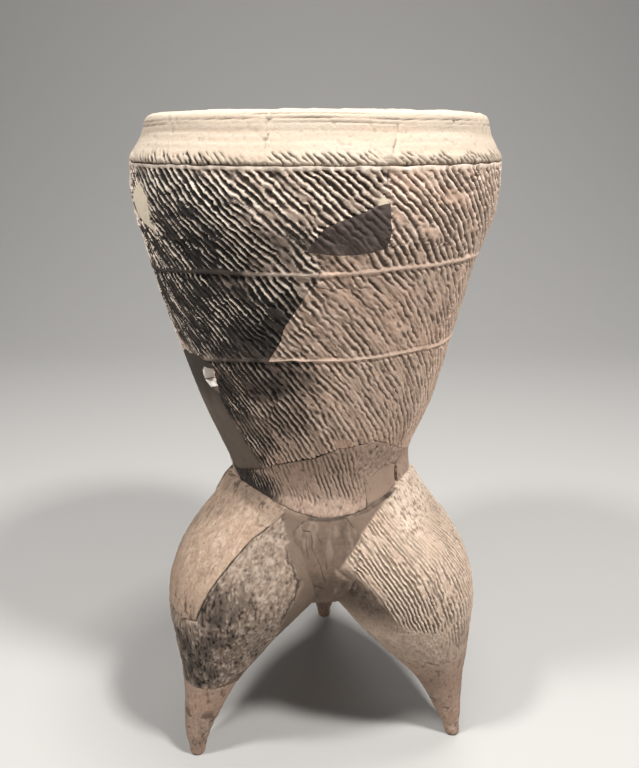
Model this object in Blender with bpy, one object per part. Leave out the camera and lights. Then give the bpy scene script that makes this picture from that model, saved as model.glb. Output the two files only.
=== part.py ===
"""Earthenware yan steamer: a flared bowl on three hollow legs, with a lift-out grate at the waist.

The pot is hand built from luted clay parts, and its bowl and left leg are mended from sherds and
plaster. Sizes below are millimetres and degrees, and the meshes are built in metres, +Z up.
A bearing turns about Z from the front (-Y) towards the right (+X).
"""

import math

import bmesh
import bpy
from mathutils import Vector
from mathutils.geometry import delaunay_2d_cdt

MM = 0.001
JOINT = 0.5
SEAM = 0.4
WALL = 8.0
LEG_WALL = 7.0

# Bowl outside as (height, radius), from under the waist to the shoulder, then up the turned-in rim
BOWL = [
    (205, 80.5), (215, 76.5), (224, 73.4), (231, 72.3), (245, 74.2), (260, 79.5), (280, 88),
    (300, 95), (340, 106.3), (380, 117.5), (410, 125.5), (435, 132.8), (452, 135), (472, 135),
]
RIM = [(470, 135), (474, 134), (481, 130.1), (489, 125.8), (497, 123.6), (500, 121.9), (502, 117.8)]
RIM_INSIDE = [(470, 127), (474, 126), (486, 119.6), (497, 115.2), (500, 115), (502, 116.2)]
SHOULDER = 470.0
WAIST_HEIGHT = 230.0

# Sideways sway of the hand-built bowl's axis as (height, shift towards the right)
SWAY = [(230, 4), (252, 0.8), (290, 0.5), (345, -1.2), (395, -2), (425, -0.6), (470, 0), (502, 1)]

# Waist joint between bowl and legs: low in the three seams, high over the legs
JOINT_HEIGHT = 222.0
JOINT_WAVE = 7.0
FRONT_SEAM = 5.7

# Cord marks paddled round the bowl: how many, and the marks climbed by each height.
# Every fourth one is a main furrow, and these are modelled on the marked sherds.
CORDS = 132
CORD_CLIMB = [(225, 0), (262, 2.2), (300, 6.2), (345, 12.6), (400, 21), (470, 33.2)]
CORDS_TO_FURROW = 4
FURROW_RISE = 0.3
FURROW_DEPTH = 0.9
FURROW_ENDS = (260.0, 470.0)
MARKED = ("soot_wall_sherd", "front_wall_sherd", "lower_wall_sherd", "back_wall_sherd")

# String lines round the bowl as (bearing, height), how far they stand out and their half width
STRING_LINES = [
    [(-180, 401), (-76, 397), (-38, 403), (-13, 405), (25, 407), (58, 407), (120, 404), (180, 401)],
    [(-180, 339), (-68, 332), (-30, 342), (-6, 346), (35, 347), (64, 344), (120, 341), (180, 339)],
]
STRING_RISE = 0.6
STRING_REACH = 6.0

# Break lines as (bearing, height). Neighbouring sherds share them.
RIM_LEFT_BREAK = [(-13, 470), (-13, 480), (-14, 502)]
RIM_RIGHT_BREAK = [(19, 470), (20, 477), (23, 490), (24, 502)]
WAIST_BREAK = [
    (-75, 240), (-61, 238), (-36, 248), (-22, 257), (-11, 262), (0, 266), (11, 274), (30, 276),
    (42, 269), (53, 260), (75, 250), (120, 246), (180, 245), (240, 242), (285, 240),
]
UPPER_BREAK = [(19, 470), (19, 464), (18, 454)]
CORNER_LEFT = [(18, 454), (16, 447.5)]
CORNER_RIGHT = [(18, 454), (20, 448.5)]
DARK_TOP = [(20, 448.5), (16, 447.5)]
DARK_LEFT = [(16, 447.5), (10, 441), (3, 435), (-2, 419)]
DARK_FOOT = [(-2, 419), (3, 418), (11, 417), (20.5, 421)]
DARK_RIGHT = [(20.5, 421), (21, 430), (20, 448.5)]
SOOT_BREAK = [(-2, 419), (2.5, 411), (1.5, 401), (-3.5, 386), (-8.5, 371), (-11.5, 357), (-16, 344.5)]
RIGHT_BREAK = [(20.5, 421), (32, 423), (42, 419), (56, 411)]
SIDE_BREAK = [(56, 411), (57, 385), (58, 364), (57, 344)]
LOW_SIDE_BREAK = [(57, 344), (55, 318), (53, 290), (53, 260)]
STRING_BREAK = [(-16, 344.5), (-6, 346), (15, 346), (35, 347), (57, 344)]
STRING_LEFT = [(-43, 335), (-30, 342), (-16, 344.5)]
LEFT_BREAK_TOP = [(-66, 470), (-61, 457)]
FILL_RIGHT = [(-61, 457), (-55, 449), (-56, 432), (-53, 425)]
FILL_LEFT = [(-61, 457), (-72, 447), (-67, 434), (-53, 425)]
LEFT_BREAK = [(-53, 425), (-58, 415), (-66, 395), (-70, 370), (-66, 337)]
STRIP_TOP = [(-66, 337), (-51, 338), (-43, 335)]
STRIP_LEFT = [(-66, 337), (-76, 330), (-82, 300), (-80, 262), (-75, 240)]
STRIP_RIGHT = [(-43, 335), (-43.5, 331), (-44.6, 312), (-45, 306), (-41, 284), (-33, 249.6)]
HOLE_EDGE = [(-43, 335), (-43.5, 331), (-50, 329.5), (-52.5, 319), (-49, 313), (-44.6, 311)]

# Plaster patch in the waist, with a gap left open at its right end
WAIST_FILL = [(28, 239), (37, 246), (49, 249), (58, 241)]
WAIST_FILL_END = 54.0

# Legs as foot place, height of the foot joint, and (height, reach out from the waist, radius)
LEGS = {
    "left": ((-98.9, -73.4), 71.0, [
        (0, 125.5, 4.4), (20, 124, 10), (40, 118.5, 15), (60, 112, 20), (80, 105, 27.3),
        (104, 94, 40), (130, 82, 55), (155, 65.5, 67), (180, 45.5, 72), (208, 18.5, 71),
        (232, 0, 72),
    ]),
    "right": ((116.8, -50.4), 84.0, [
        (0, 123.5, 4.4), (20, 119, 9.8), (40, 113.5, 14.7), (60, 107, 21.8), (80, 97.6, 33),
        (104, 85, 46.4), (130, 74, 58.2), (155, 60.3, 67), (180, 42, 72), (208, 18.2, 71),
        (232, 0, 72),
    ]),
    "rear": ((7.7, 123.2), 76.0, [
        (0, 123, 4.4), (20, 121, 10), (40, 115, 15), (60, 108.5, 21), (80, 101, 30),
        (104, 89.5, 43), (130, 78, 56.5), (155, 63, 67), (180, 44, 72), (208, 18.4, 71),
        (232, 0, 72),
    ]),
}
LEG_COLUMNS = 36
LEG_ROWS = 9
LEG_TOPS = (110.0, 235.0)
TENON = 13.0

# Worn sole of a foot as (height, growth of the outline)
SOLE = [(0, 0), (1.2, 1.2), (4, 1)]

# Flat patterns of sherds: millimetres to a degree, and the spacing of their points
WALL_PATTERN = (1.9, 17.0)
LEG_PATTERN = (1.2, 12.0)
INSIDE_STEP = 27.0
MARK_LEVELS = 23.0

# Sherd on the outside of the left leg, as (angle round the leg, height)
LEG_SHERD = [
    (-112, 245), (-104, 190), (-85, 152), (-50, 138), (-20, 136), (9, 136), (22, 139), (23, 150),
    (24, 163), (27, 185), (29, 199), (37, 213), (44, 245),
]

# Clay pressed into the crotch and up the three seams, as (height, radius)
WEB = [
    (132, 57.5), (145, 75.5), (160, 86.5), (180, 92.5), (200, 87), (214, 80), (222, 74), (232, 68),
]
WEB_VAULT = 137.5
WEB_CORE = 40.0
WEB_CORE_TOP = 205.0
WEB_SHIFT = (-3.0, -1.5)
WEB_GAP = 0.7

LEDGE_TOP = 243.0
LEDGE_DEPTH = 13.0
LEDGE_BORE = 50.0
GRATE_RADIUS = 61.0
GRATE_THICK = 9.0
GRATE_HOLE = 4.6
GRATE_RINGS = [(0, 1), (22, 6), (43, 12)]


def smooth(points, at):
    """Value at a height on a smooth curve through (height, value) points, level past its ends."""
    at = min(max(at, points[0][0]), points[-1][0])
    last = len(points) - 1

    def slope(i):
        low, high = points[max(i - 1, 0)], points[min(i + 1, last)]
        return (high[1] - low[1]) / (high[0] - low[0])

    i = max(k for k in range(last) if points[k][0] <= at)
    (x0, y0), (x1, y1) = points[i], points[i + 1]
    span = x1 - x0
    t = (at - x0) / span
    bend = span * t * (1 - t) * ((1 - t) * slope(i) - t * slope(i + 1))
    return y0 + (y1 - y0) * t * t * (3 - 2 * t) + bend


def along(points, at):
    """Value at a place on the straight runs between (place, value) points."""
    for (x0, y0), (x1, y1) in zip(points, points[1:]):
        if at <= x1:
            return y0 + (y1 - y0) * max(at - x0, 0) / (x1 - x0)
    return points[-1][1]


def turned(bearing):
    """Unit vector that points outwards at a bearing."""
    angle = math.radians(bearing)
    return Vector((math.sin(angle), -math.cos(angle)))


def bowl_centre(height):
    """Place of the bowl's axis at a height."""
    return Vector((smooth(SWAY, height), 0))


def bowl_point(bearing, height, inside):
    """Point on the bowl's outer or inner face."""
    if height > SHOULDER:
        radius = along(RIM_INSIDE if inside else RIM, height)
    else:
        radius = smooth(BOWL, height) - (WALL if inside else 0)
    return (bowl_centre(height) + radius * turned(bearing)).to_3d() + Vector((0, 0, height))


def furrow_phase(bearing, height):
    """Main furrows passed at a place: whole numbers lie in a furrow, and halves on a ridge."""
    return (CORDS * bearing / 360 + smooth(CORD_CLIMB, height)) / CORDS_TO_FURROW


def furrow_bearing(phase, height):
    """Bearing where a furrow or ridge passes a height."""
    return 360 * (CORDS_TO_FURROW * phase - smooth(CORD_CLIMB, height)) / CORDS


def string_height(line, bearing):
    """Height of a string line at a bearing."""
    return along(line, (bearing + 180) % 360 - 180)


def marked_point(bearing, height, inside):
    """Point on a cord-marked sherd: main furrows and string lines on its outer face."""
    point = bowl_point(bearing, height, inside)
    if inside:
        return point
    low, high = FURROW_ENDS
    cover = along([(low, 0), (low + STRING_REACH, 1), (high - STRING_REACH, 1), (high, 0)], height)
    sunk = abs(2 * (furrow_phase(bearing, height) % 1) - 1)
    relief = FURROW_RISE - (FURROW_RISE + FURROW_DEPTH) * sunk
    rise = 0.0
    for line in STRING_LINES:
        near = max(1 - abs(height - string_height(line, bearing)) / STRING_REACH, 0)
        cover *= 1 - near
        rise += STRING_RISE * near
    return point + (turned(bearing) * (relief * cover + rise)).to_3d()


def waist_joint(bearing):
    """Height of the joint between bowl and legs."""
    return JOINT_HEIGHT - JOINT_WAVE * math.cos(math.radians(3 * (bearing - FRONT_SEAM)))


WAIST = bowl_centre(WAIST_HEIGHT)


class Leg:
    """One leg's shape: rings whose centres walk out from the waist to the foot."""

    def __init__(self, name):
        foot, self.foot_joint, stations = LEGS[name]
        step = Vector(foot) - WAIST
        self.bearing = math.degrees(math.atan2(step.x, -step.y))
        self.out = turned(self.bearing)
        self.side = turned(self.bearing + 90)
        self.reach = [(z, reach) for z, reach, _ in stations]
        self.radius = [(z, radius) for z, _, radius in stations]

    def point(self, angle, height, grow=0.0):
        """Point on the leg's skin, grown outwards by an amount."""
        radius = smooth(self.radius, height) + grow
        turn = math.radians(angle)
        across = math.cos(turn) * self.out + math.sin(turn) * self.side
        place = WAIST + smooth(self.reach, height) * self.out + radius * across
        return place.to_3d() + Vector((0, 0, height))

    def set_seams(self, legs):
        """Finds the seam planes, midway to the neighbouring legs."""
        turns = sorted((leg.bearing - self.bearing) % 360 for leg in legs if leg is not self)
        self.after = turned(self.bearing + turns[0] / 2)
        self.before = turned(self.bearing + (turns[1] - 360) / 2)

    def inside(self, point):
        """Whether a point is within this leg's third of the pot and under the waist joint."""
        flat = point.to_2d() - WAIST
        clear = min(self.before.cross(flat), flat.cross(self.after)) > SEAM / 2
        bearing = math.degrees(math.atan2(flat.x, -flat.y))
        return clear and point.z < waist_joint(bearing) - JOINT / 2

    def top(self, angle, grow):
        """Height where the skin reaches a seam or the waist joint."""
        low, high = LEG_TOPS
        for _ in range(30):
            middle = (low + high) / 2
            if self.inside(self.point(angle, middle, grow)):
                low = middle
            else:
                high = middle
        return low


def made(name, bm, material, parent, shade=True):
    """Turns a bmesh in millimetres into a closed object in metres."""
    bmesh.ops.recalc_face_normals(bm, faces=bm.faces)
    bmesh.ops.scale(bm, vec=(MM, MM, MM), verts=bm.verts)
    mesh = bpy.data.meshes.new(name)
    bm.to_mesh(mesh)
    bm.free()
    if shade:
        mesh.shade_smooth()
        mesh.set_sharp_from_angle(angle=math.radians(40))
    obj = bpy.data.objects.new(name, mesh)
    bpy.context.scene.collection.objects.link(obj)
    obj.parent = parent
    if material:
        mesh.materials.append(material)
    else:
        obj.hide_render = True
        obj.display_type = "WIRE"
    return obj


def clay(name, colour, roughness=0.9):
    """Principled material of one fired or filled surface."""
    material = bpy.data.materials.new(name)
    material.use_nodes = True
    shader = material.node_tree.nodes["Principled BSDF"]
    shader.inputs["Base Color"].default_value = (*colour, 1)
    shader.inputs["Roughness"].default_value = roughness
    shader.inputs["Metallic"].default_value = 0
    return material


def tube_faces(bm, rings, closed_ends):
    """Quads between rings of points, with flat caps on the ends or a join from last to first."""
    loops = [[bm.verts.new(point) for point in ring] for ring in rings]
    pairs = list(zip(loops, loops[1:]))
    if closed_ends:
        bm.faces.new(loops[0])
        bm.faces.new(loops[-1])
    else:
        pairs.append((loops[-1], loops[0]))
    for one, two in pairs:
        for i in range(len(one)):
            j = (i + 1) % len(one)
            bm.faces.new((one[i], one[j], two[j], two[i]))


def grid_solid(rows, surface, ring):
    """Solid wall over a grid of (bearing, height) rows, closed round the pot or ended by breaks."""
    bm = bmesh.new()
    faces = [[[bm.verts.new(surface(a, z, inside)) for a, z in row] for row in rows]
             for inside in (False, True)]
    columns = len(rows[0])
    for j in range(len(rows) - 1):
        for i in range(columns if ring else columns - 1):
            k = (i + 1) % columns
            for skin in faces:
                bm.faces.new((skin[j][i], skin[j][k], skin[j + 1][k], skin[j + 1][i]))
    outer, inner = faces
    for j in (0, len(rows) - 1):
        for i in range(columns if ring else columns - 1):
            k = (i + 1) % columns
            bm.faces.new((outer[j][i], outer[j][k], inner[j][k], inner[j][i]))
    for i in () if ring else (0, columns - 1):
        for j in range(len(rows) - 1):
            bm.faces.new((outer[j][i], outer[j + 1][i], inner[j + 1][i], inner[j][i]))
    return bm


def joined(*lines):
    """One outline from break lines laid end to end, each turned round where it needs to be."""
    outline = list(lines[0])
    if outline[-1] not in (lines[1][0], lines[1][-1]):
        outline.reverse()
    for line in lines[1:]:
        outline += line[1:] if line[0] == outline[-1] else line[-2::-1]
    return outline[:-1] if outline[0] == outline[-1] else outline


def turned_on(line):
    """The same break line reached the other way round the pot."""
    return [(a + 360, z) for a, z in line]


def cut_out(outline, scale, step, inset):
    """Outline in flat millimetres: its runs split to the step, and drawn in by the joint gap."""
    flat = [Vector((a * scale, z)) for a, z in outline]
    area = sum(a.cross(b) for a, b in zip(flat, flat[1:] + flat[:1]))
    if area < 0:
        flat.reverse()
    fine = []
    for a, b in zip(flat, flat[1:] + flat[:1]):
        parts = max(1, math.ceil((b - a).length / step))
        fine += [a.lerp(b, k / parts) for k in range(parts)]
    drawn = []
    for before, here, after in zip(fine[-1:] + fine, fine, fine[1:] + fine[:1]):
        one = (here - before).normalized()
        two = (after - here).normalized()
        normals = Vector((-one.y, one.x)) + Vector((-two.y, two.x))
        drawn.append(here + normals * inset / max(1 + one.dot(two), 0.5))
    return drawn


def within(point, outline, clear):
    """Whether a point is inside an outline and clear of its edge."""
    odd = False
    for a, b in zip(outline, outline[1:] + outline[:1]):
        run = b - a
        near = a + run * min(max((point - a).dot(run) / run.length_squared, 0), 1)
        if (point - near).length < clear:
            return False
        if (a.y > point.y) != (b.y > point.y):
            odd ^= point.x < a.x + run.x * (point.y - a.y) / run.y
    return odd


def square_points(edge, step):
    """Points of a square pattern within an outline."""
    xs = [p.x for p in edge]
    ys = [p.y for p in edge]
    points = []
    for i in range(math.ceil(min(xs) / step), math.floor(max(xs) / step) + 1):
        for j in range(math.ceil(min(ys) / step), math.floor(max(ys) / step) + 1):
            point = Vector((i * step, j * step))
            if within(point, edge, step * 0.45):
                points.append(point)
    return points


def meeting_height(phase, line, clear):
    """Height where a furrow or ridge comes within a distance of a line."""
    height = line[0][1]
    for _ in range(4):
        height = along(line, (furrow_bearing(phase, height) + 180) % 360 - 180) + clear
    return height


def mark_points(edge, scale):
    """Points along the string lines, furrows and ridges within an outline, and the runs that join them."""
    low = min(p.x for p in edge) / scale
    high = max(p.x for p in edge) / scale
    points = []
    runs = []

    def follow(line, clear):
        before = None
        for place in line:
            kept = within(place, edge, clear)
            if kept:
                points.append(place)
                if before is not None:
                    runs.append((before, len(points) - 1))
            before = len(points) - 1 if kept else None

    for line in STRING_LINES:
        turns = range(math.ceil(low / 8) * 8, math.floor(high) + 1, 8)
        follow([Vector((a * scale, string_height(line, a))) for a in turns], 4)
    bottom, top = ([(-180, z), (180, z)] for z in FURROW_ENDS)
    bands = [bottom, *reversed(STRING_LINES), top]
    first = math.floor(2 * furrow_phase(low, FURROW_ENDS[0]))
    last = math.ceil(2 * furrow_phase(high, FURROW_ENDS[1]))
    for under, over in zip(bands, bands[1:]):
        for half in range(first, last + 1):
            start = meeting_height(half / 2, under, STRING_REACH)
            end = meeting_height(half / 2, over, -STRING_REACH)
            steps = round((end - start) / MARK_LEVELS)
            heights = [start + (end - start) * k / steps for k in range(steps + 1)]
            follow([Vector((furrow_bearing(half / 2, z) * scale, z)) for z in heights], 5)
    return points, runs


def sherd_skin(bm, edge, filling, runs, place):
    """One face of a sherd, cut into triangles. Gives the vertices along its edge, in order."""
    many = len(edge)
    rim = [(i, (i + 1) % many) for i in range(many)]
    runs = [(many + a, many + b) for a, b in runs]
    spots, _, faces, sources, *_ = delaunay_2d_cdt(edge + filling, rim + runs, [], 1, 1e-4)
    verts = [bm.verts.new(place(spot)) for spot in spots]
    for face in faces:
        bm.faces.new([verts[i] for i in face])
    spot_of = {source: i for i, found in enumerate(sources) for source in found}
    return [verts[spot_of[i]] for i in range(many)]


def sherd_solid(outline, surface, scale, step, inset, marked=False):
    """Solid sherd over an outline of (angle, height), with its edges square to the pot's axis."""
    edge = cut_out(outline, scale, step, inset)
    filling, runs = mark_points(edge, scale) if marked else (square_points(edge, step), [])
    bm = bmesh.new()
    outer = sherd_skin(bm, edge, filling, runs, lambda p: surface(p.x / scale, p.y, False))
    filling = square_points(edge, INSIDE_STEP if marked else step)
    inner = sherd_skin(bm, edge, filling, [], lambda p: surface(p.x / scale, p.y, True))
    for i in range(len(edge)):
        bm.faces.new((outer[i - 1], outer[i], inner[i], inner[i - 1]))
    return bm


def add_boolean(obj, cutter, operation):
    """Cuts an object with another one."""
    cut = obj.modifiers.new(f"{operation.lower()} {cutter.name}", "BOOLEAN")
    cut.operation = operation
    cut.object = cutter
    cut.solver = "EXACT"


def make_rim(parent):
    """Turned-in rim collar, broken in two pieces."""
    gap = math.degrees(JOINT / 2 / RIM[0][1])
    heights = [SHOULDER + JOINT / 2, *(z for z, _ in RIM[1:])]
    pieces = {
        "rim_front_sherd": (RIM_LEFT_BREAK, RIM_RIGHT_BREAK, 6),
        "rim_ring": (RIM_RIGHT_BREAK, turned_on(RIM_LEFT_BREAK), 42),
    }
    for name, (start, end, columns) in pieces.items():
        rows = []
        for z in heights:
            first = along([(h, a) for a, h in start], z) + gap
            last = along([(h, a) for a, h in end], z) - gap
            rows.append([(first + (last - first) * i / columns, z) for i in range(columns + 1)])
        bm = grid_solid(rows, bowl_point, ring=False)
        made(name, bm, clay(name, (0.56, 0.47, 0.36)), parent)


def make_wall_sherds(parent):
    """Sherds and plaster fills of the bowl's wall, from the shoulder to the break above the waist."""
    shoulder_left = [(19, SHOULDER), (-66, SHOULDER)]
    shoulder_back = [(19, SHOULDER), (294, SHOULDER)]
    waist_front = [(-33, 249.6)] + [p for p in WAIST_BREAK if -33 < p[0] <= 53]
    waist_left = [p for p in WAIST_BREAK if p[0] < -33] + [(-33, 249.6)]
    waist_back = [p for p in WAIST_BREAK if p[0] >= 53]
    around = [turned_on(line) for line in (LEFT_BREAK_TOP, FILL_LEFT, LEFT_BREAK, STRIP_LEFT)]
    outlines = {
        "soot_wall_sherd": (0.10, joined(
            shoulder_left, LEFT_BREAK_TOP, FILL_RIGHT, LEFT_BREAK, STRIP_TOP, STRING_LEFT,
            SOOT_BREAK, DARK_LEFT, CORNER_LEFT, UPPER_BREAK)),
        "dark_inset_sherd": (0.12, joined(DARK_TOP, DARK_LEFT, DARK_FOOT, DARK_RIGHT)),
        "front_wall_sherd": (0.30, joined(
            DARK_FOOT, RIGHT_BREAK, SIDE_BREAK, STRING_BREAK, SOOT_BREAK)),
        "lower_wall_sherd": (0.24, joined(
            STRING_LEFT, STRING_BREAK, LOW_SIDE_BREAK, waist_front, STRIP_RIGHT)),
        "back_wall_sherd": (0.26, joined(
            shoulder_back, *around, waist_back, LOW_SIDE_BREAK, SIDE_BREAK, RIGHT_BREAK,
            DARK_RIGHT, CORNER_RIGHT, UPPER_BREAK)),
        "left_edge_fill": (0.50, joined(FILL_RIGHT, FILL_LEFT)),
        "lower_left_fill": (0.40, joined(
            STRIP_TOP, HOLE_EDGE + STRIP_RIGHT[3:], waist_left, STRIP_LEFT)),
        "corner_fill": (0.45, joined(CORNER_LEFT, DARK_TOP, CORNER_RIGHT)),
    }
    for name, (grey, outline) in outlines.items():
        marked = name in MARKED
        bm = sherd_solid(outline, marked_point if marked else bowl_point, *WALL_PATTERN, JOINT / 2, marked)
        made(name, bm, clay(name, (grey, grey * 0.84, grey * 0.68)), parent)


def make_waist(parent):
    """Waist band luted on the legs, with a plaster patch let into its lower edge."""
    low, high = WAIST_FILL[0][0], WAIST_FILL[-1][0]
    turns = {*range(-72, 288, 6), *(a for a, _ in WAIST_BREAK[:-1]), *(a for a, _ in WAIST_FILL)}
    columns = sorted(turns | {low - 0.1, high + 0.1})
    rows = []
    for part in (0, 0.35, 0.7, 1):
        row = []
        for a in columns:
            patched = low <= a <= high
            foot = along(WAIST_FILL, a) if patched else waist_joint(a)
            top = along(WAIST_BREAK, a) - JOINT / 2
            row.append((a, foot + JOINT / 2 + (top - foot - JOINT / 2) * part))
        rows.append(row)
    bm = grid_solid(rows, bowl_point, ring=True)
    made("waist_band", bm, clay("waist_band", (0.27, 0.22, 0.17)), parent)

    rows = []
    for part in (0, 0.5, 1):
        row = []
        for k in range(6):
            a = low + 0.4 + (WAIST_FILL_END - low - 0.4) * k / 5
            foot = waist_joint(a) + JOINT / 2
            row.append((a, foot + (along(WAIST_FILL, a) - JOINT / 2 - foot) * part))
        rows.append(row)
    bm = grid_solid(rows, bowl_point, ring=False)
    made("waist_fill", bm, clay("waist_fill", (0.42, 0.35, 0.27)), parent)


def leg_shell(leg):
    """Hollow leg pouch, open at its seams, its top and its foot."""
    angles = [360 * i / LEG_COLUMNS for i in range(LEG_COLUMNS)]
    rings = []
    for grow in (0.0, -LEG_WALL):
        tops = [leg.top(a, grow) for a in angles]
        skin = []
        for j in range(LEG_ROWS + 1):
            low = leg.foot_joint + JOINT / 2
            ring = [leg.point(a, low + (top - low) * j / LEG_ROWS, grow)
                    for a, top in zip(angles, tops)]
            skin.append(ring)
        rings += skin if grow == 0 else skin[::-1]
    bm = bmesh.new()
    tube_faces(bm, rings, closed_ends=False)
    return bm


def make_foot(name, leg, parent):
    """Solid foot with a worn sole, and a tenon that closes the pouch."""
    joint = leg.foot_joint - JOINT / 2
    tenon = smooth(leg.radius, leg.foot_joint) - LEG_WALL - JOINT
    steps = SOLE + [(joint * k / 6, 0) for k in range(1, 7)]
    angles = [18 * i for i in range(20)]
    rings = [[leg.point(a, z, grow) for a in angles] for z, grow in steps]
    for rise, shrink in ((0, 0), (TENON * 0.75, 0), (TENON, 2.5)):
        z = joint + rise
        grow = tenon - shrink - smooth(leg.radius, z)
        rings.append([leg.point(a, z, grow) for a in angles])
    bm = bmesh.new()
    tube_faces(bm, rings, closed_ends=True)
    made(name, bm, clay(name, (0.40, 0.29, 0.21)), parent)


def make_legs(parent):
    """Three leg pouches and their feet. The left pouch carries a large mended sherd."""
    legs = {name: Leg(name) for name in LEGS}
    for name, leg in legs.items():
        leg.set_seams(legs.values())
        pouch = f"{name}_leg_pouch"
        obj = made(pouch, leg_shell(leg), clay(pouch, (0.32, 0.26, 0.20)), parent)
        make_foot(f"{name}_foot", leg, parent)
        if name != "left":
            continue

        def plug(angle, height, inside):
            return leg.point(angle, height, -3 * LEG_WALL if inside else LEG_WALL)

        sherd_name = "left_leg_outer_sherd"
        sherd = made(sherd_name, leg_shell(leg), clay(sherd_name, (0.45, 0.36, 0.27)), parent)
        for target, inset, operation in ((obj, 0, "DIFFERENCE"), (sherd, JOINT, "INTERSECT")):
            bm = sherd_solid(LEG_SHERD, plug, *LEG_PATTERN, inset)
            cutter = made(f"leg_sherd_{operation.lower()}", bm, None, parent)
            add_boolean(target, cutter, operation)
    return legs


def make_web(legs, parent):
    """Clay web pressed up between the legs: a vault at the crotch with an arm in each seam."""
    bearings = range(0, 360, 6)

    def ring(place):
        """One ring of points, from a function of bearing that gives (radius, height)."""
        spots = [(a, *place(a)) for a in bearings]
        return [(middle + radius * turned(a)).to_3d() + Vector((0, 0, z)) for a, radius, z in spots]

    middle = WAIST + Vector(WEB_SHIFT)
    low, edge = WEB[0]
    rings = []
    for part in (0.12, 0.45, 0.75):
        vault = WEB_VAULT - (WEB_VAULT - low) * part * part
        rings.append(ring(lambda a: (edge * part, vault)))
    for part in (0, 0.15, 0.3, 0.45, 0.6, 0.8, 1):
        heights = {a: low + (waist_joint(a) - JOINT / 2 - low) * part for a in bearings}
        rings.append(ring(lambda a: (smooth(WEB, heights[a]), heights[a])))
    rings.append(ring(lambda a: (WEB_CORE, WEB_CORE_TOP)))
    bm = bmesh.new()
    tube_faces(bm, rings, closed_ends=True)
    web = made("crotch_web", bm, clay("crotch_web", (0.34, 0.27, 0.20)), parent)
    for name, leg in legs.items():
        bm = bmesh.new()
        angles = [360 * i / LEG_COLUMNS for i in range(LEG_COLUMNS)]
        heights = [leg.foot_joint + (LEG_TOPS[1] - leg.foot_joint) * j / 11 for j in range(12)]
        rings = [[leg.point(a, z, WEB_GAP) for a in angles] for z in heights]
        tube_faces(bm, rings, closed_ends=True)
        add_boolean(web, made(f"{name}_leg_body", bm, None, parent), "DIFFERENCE")


def make_grate(parent):
    """Clay ledge luted inside the waist, and the pierced disc that lies on it."""
    centre = bowl_centre(LEDGE_TOP)
    foot = LEDGE_TOP - LEDGE_DEPTH
    outer_foot = smooth(BOWL, foot) - WALL - JOINT
    outer_top = smooth(BOWL, LEDGE_TOP) - WALL - JOINT
    section = [
        (outer_foot, foot), (outer_top, LEDGE_TOP), (LEDGE_BORE + 2, LEDGE_TOP),
        (LEDGE_BORE, LEDGE_TOP - 2), (LEDGE_BORE, LEDGE_TOP - 7), (outer_foot - 5, foot),
    ]
    bm = bmesh.new()
    rings = []
    for radius, z in section:
        middle = centre if radius < outer_foot - 5 else bowl_centre(z)
        spokes = [middle + radius * turned(7.5 * i) for i in range(48)]
        rings.append([spoke.to_3d() + Vector((0, 0, z)) for spoke in spokes])
    tube_faces(bm, rings, closed_ends=False)
    made("grate_ledge", bm, clay("grate_ledge", (0.28, 0.23, 0.18)), parent)

    bm = bmesh.new()
    bmesh.ops.create_cone(bm, cap_ends=True, segments=48, radius1=GRATE_RADIUS, radius2=GRATE_RADIUS,
                          depth=GRATE_THICK)
    rims = [e for e in bm.edges if abs(e.verts[0].co.z - e.verts[1].co.z) < 0.1]
    bmesh.ops.bevel(bm, geom=rims, offset=1.5, segments=1, affect="EDGES")
    grate = made("grate", bm, clay("grate", (0.30, 0.25, 0.20)), parent)
    grate.location = (centre.x * MM, centre.y * MM, (LEDGE_TOP + JOINT + GRATE_THICK / 2) * MM)

    bm = bmesh.new()
    for radius, count in GRATE_RINGS:
        for k in range(count):
            drill = bmesh.ops.create_cone(bm, cap_ends=True, segments=12, radius1=GRATE_HOLE,
                                          radius2=GRATE_HOLE, depth=3 * GRATE_THICK)
            place = radius * turned(360 * k / count)
            bmesh.ops.translate(bm, verts=drill["verts"], vec=place.to_3d())
    drills = made("grate_drills", bm, None, parent)
    drills.location = grate.location
    add_boolean(grate, drills, "DIFFERENCE")


def main():
    for obj in list(bpy.data.objects):
        bpy.data.objects.remove(obj)
    pot = bpy.data.objects.new("yan_steamer", None)
    bpy.context.scene.collection.objects.link(pot)
    make_rim(pot)
    make_wall_sherds(pot)
    make_waist(pot)
    legs = make_legs(pot)
    make_web(legs, pot)
    make_grate(pot)


main()
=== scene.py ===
"""Looks of the earthenware yan steamer, drawn over its plain solids.

Each piece takes its outline from the solid it stands for and is drawn again as a fine skin. Paddled cord
marks, string lines, cracks and wear are real relief, and the finishes lay soot, slip, plaster and a pale
dusting over them. They also paint light and shade: painted shade in the grooves and on the waist, the
bowl's painted shadow on the web, the legs and the lower left fill, painted light on the bowl's right and in
the hole through that fill, and painted highlights on the ridge crests. Sizes are millimetres and degrees,
and those of the studio are metres. A bearing turns about Z from the front (-Y) towards the right (+X).
"""

import math

import bpy
import numpy as np
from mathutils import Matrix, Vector
from mathutils.geometry import delaunay_2d_cdt


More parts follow.
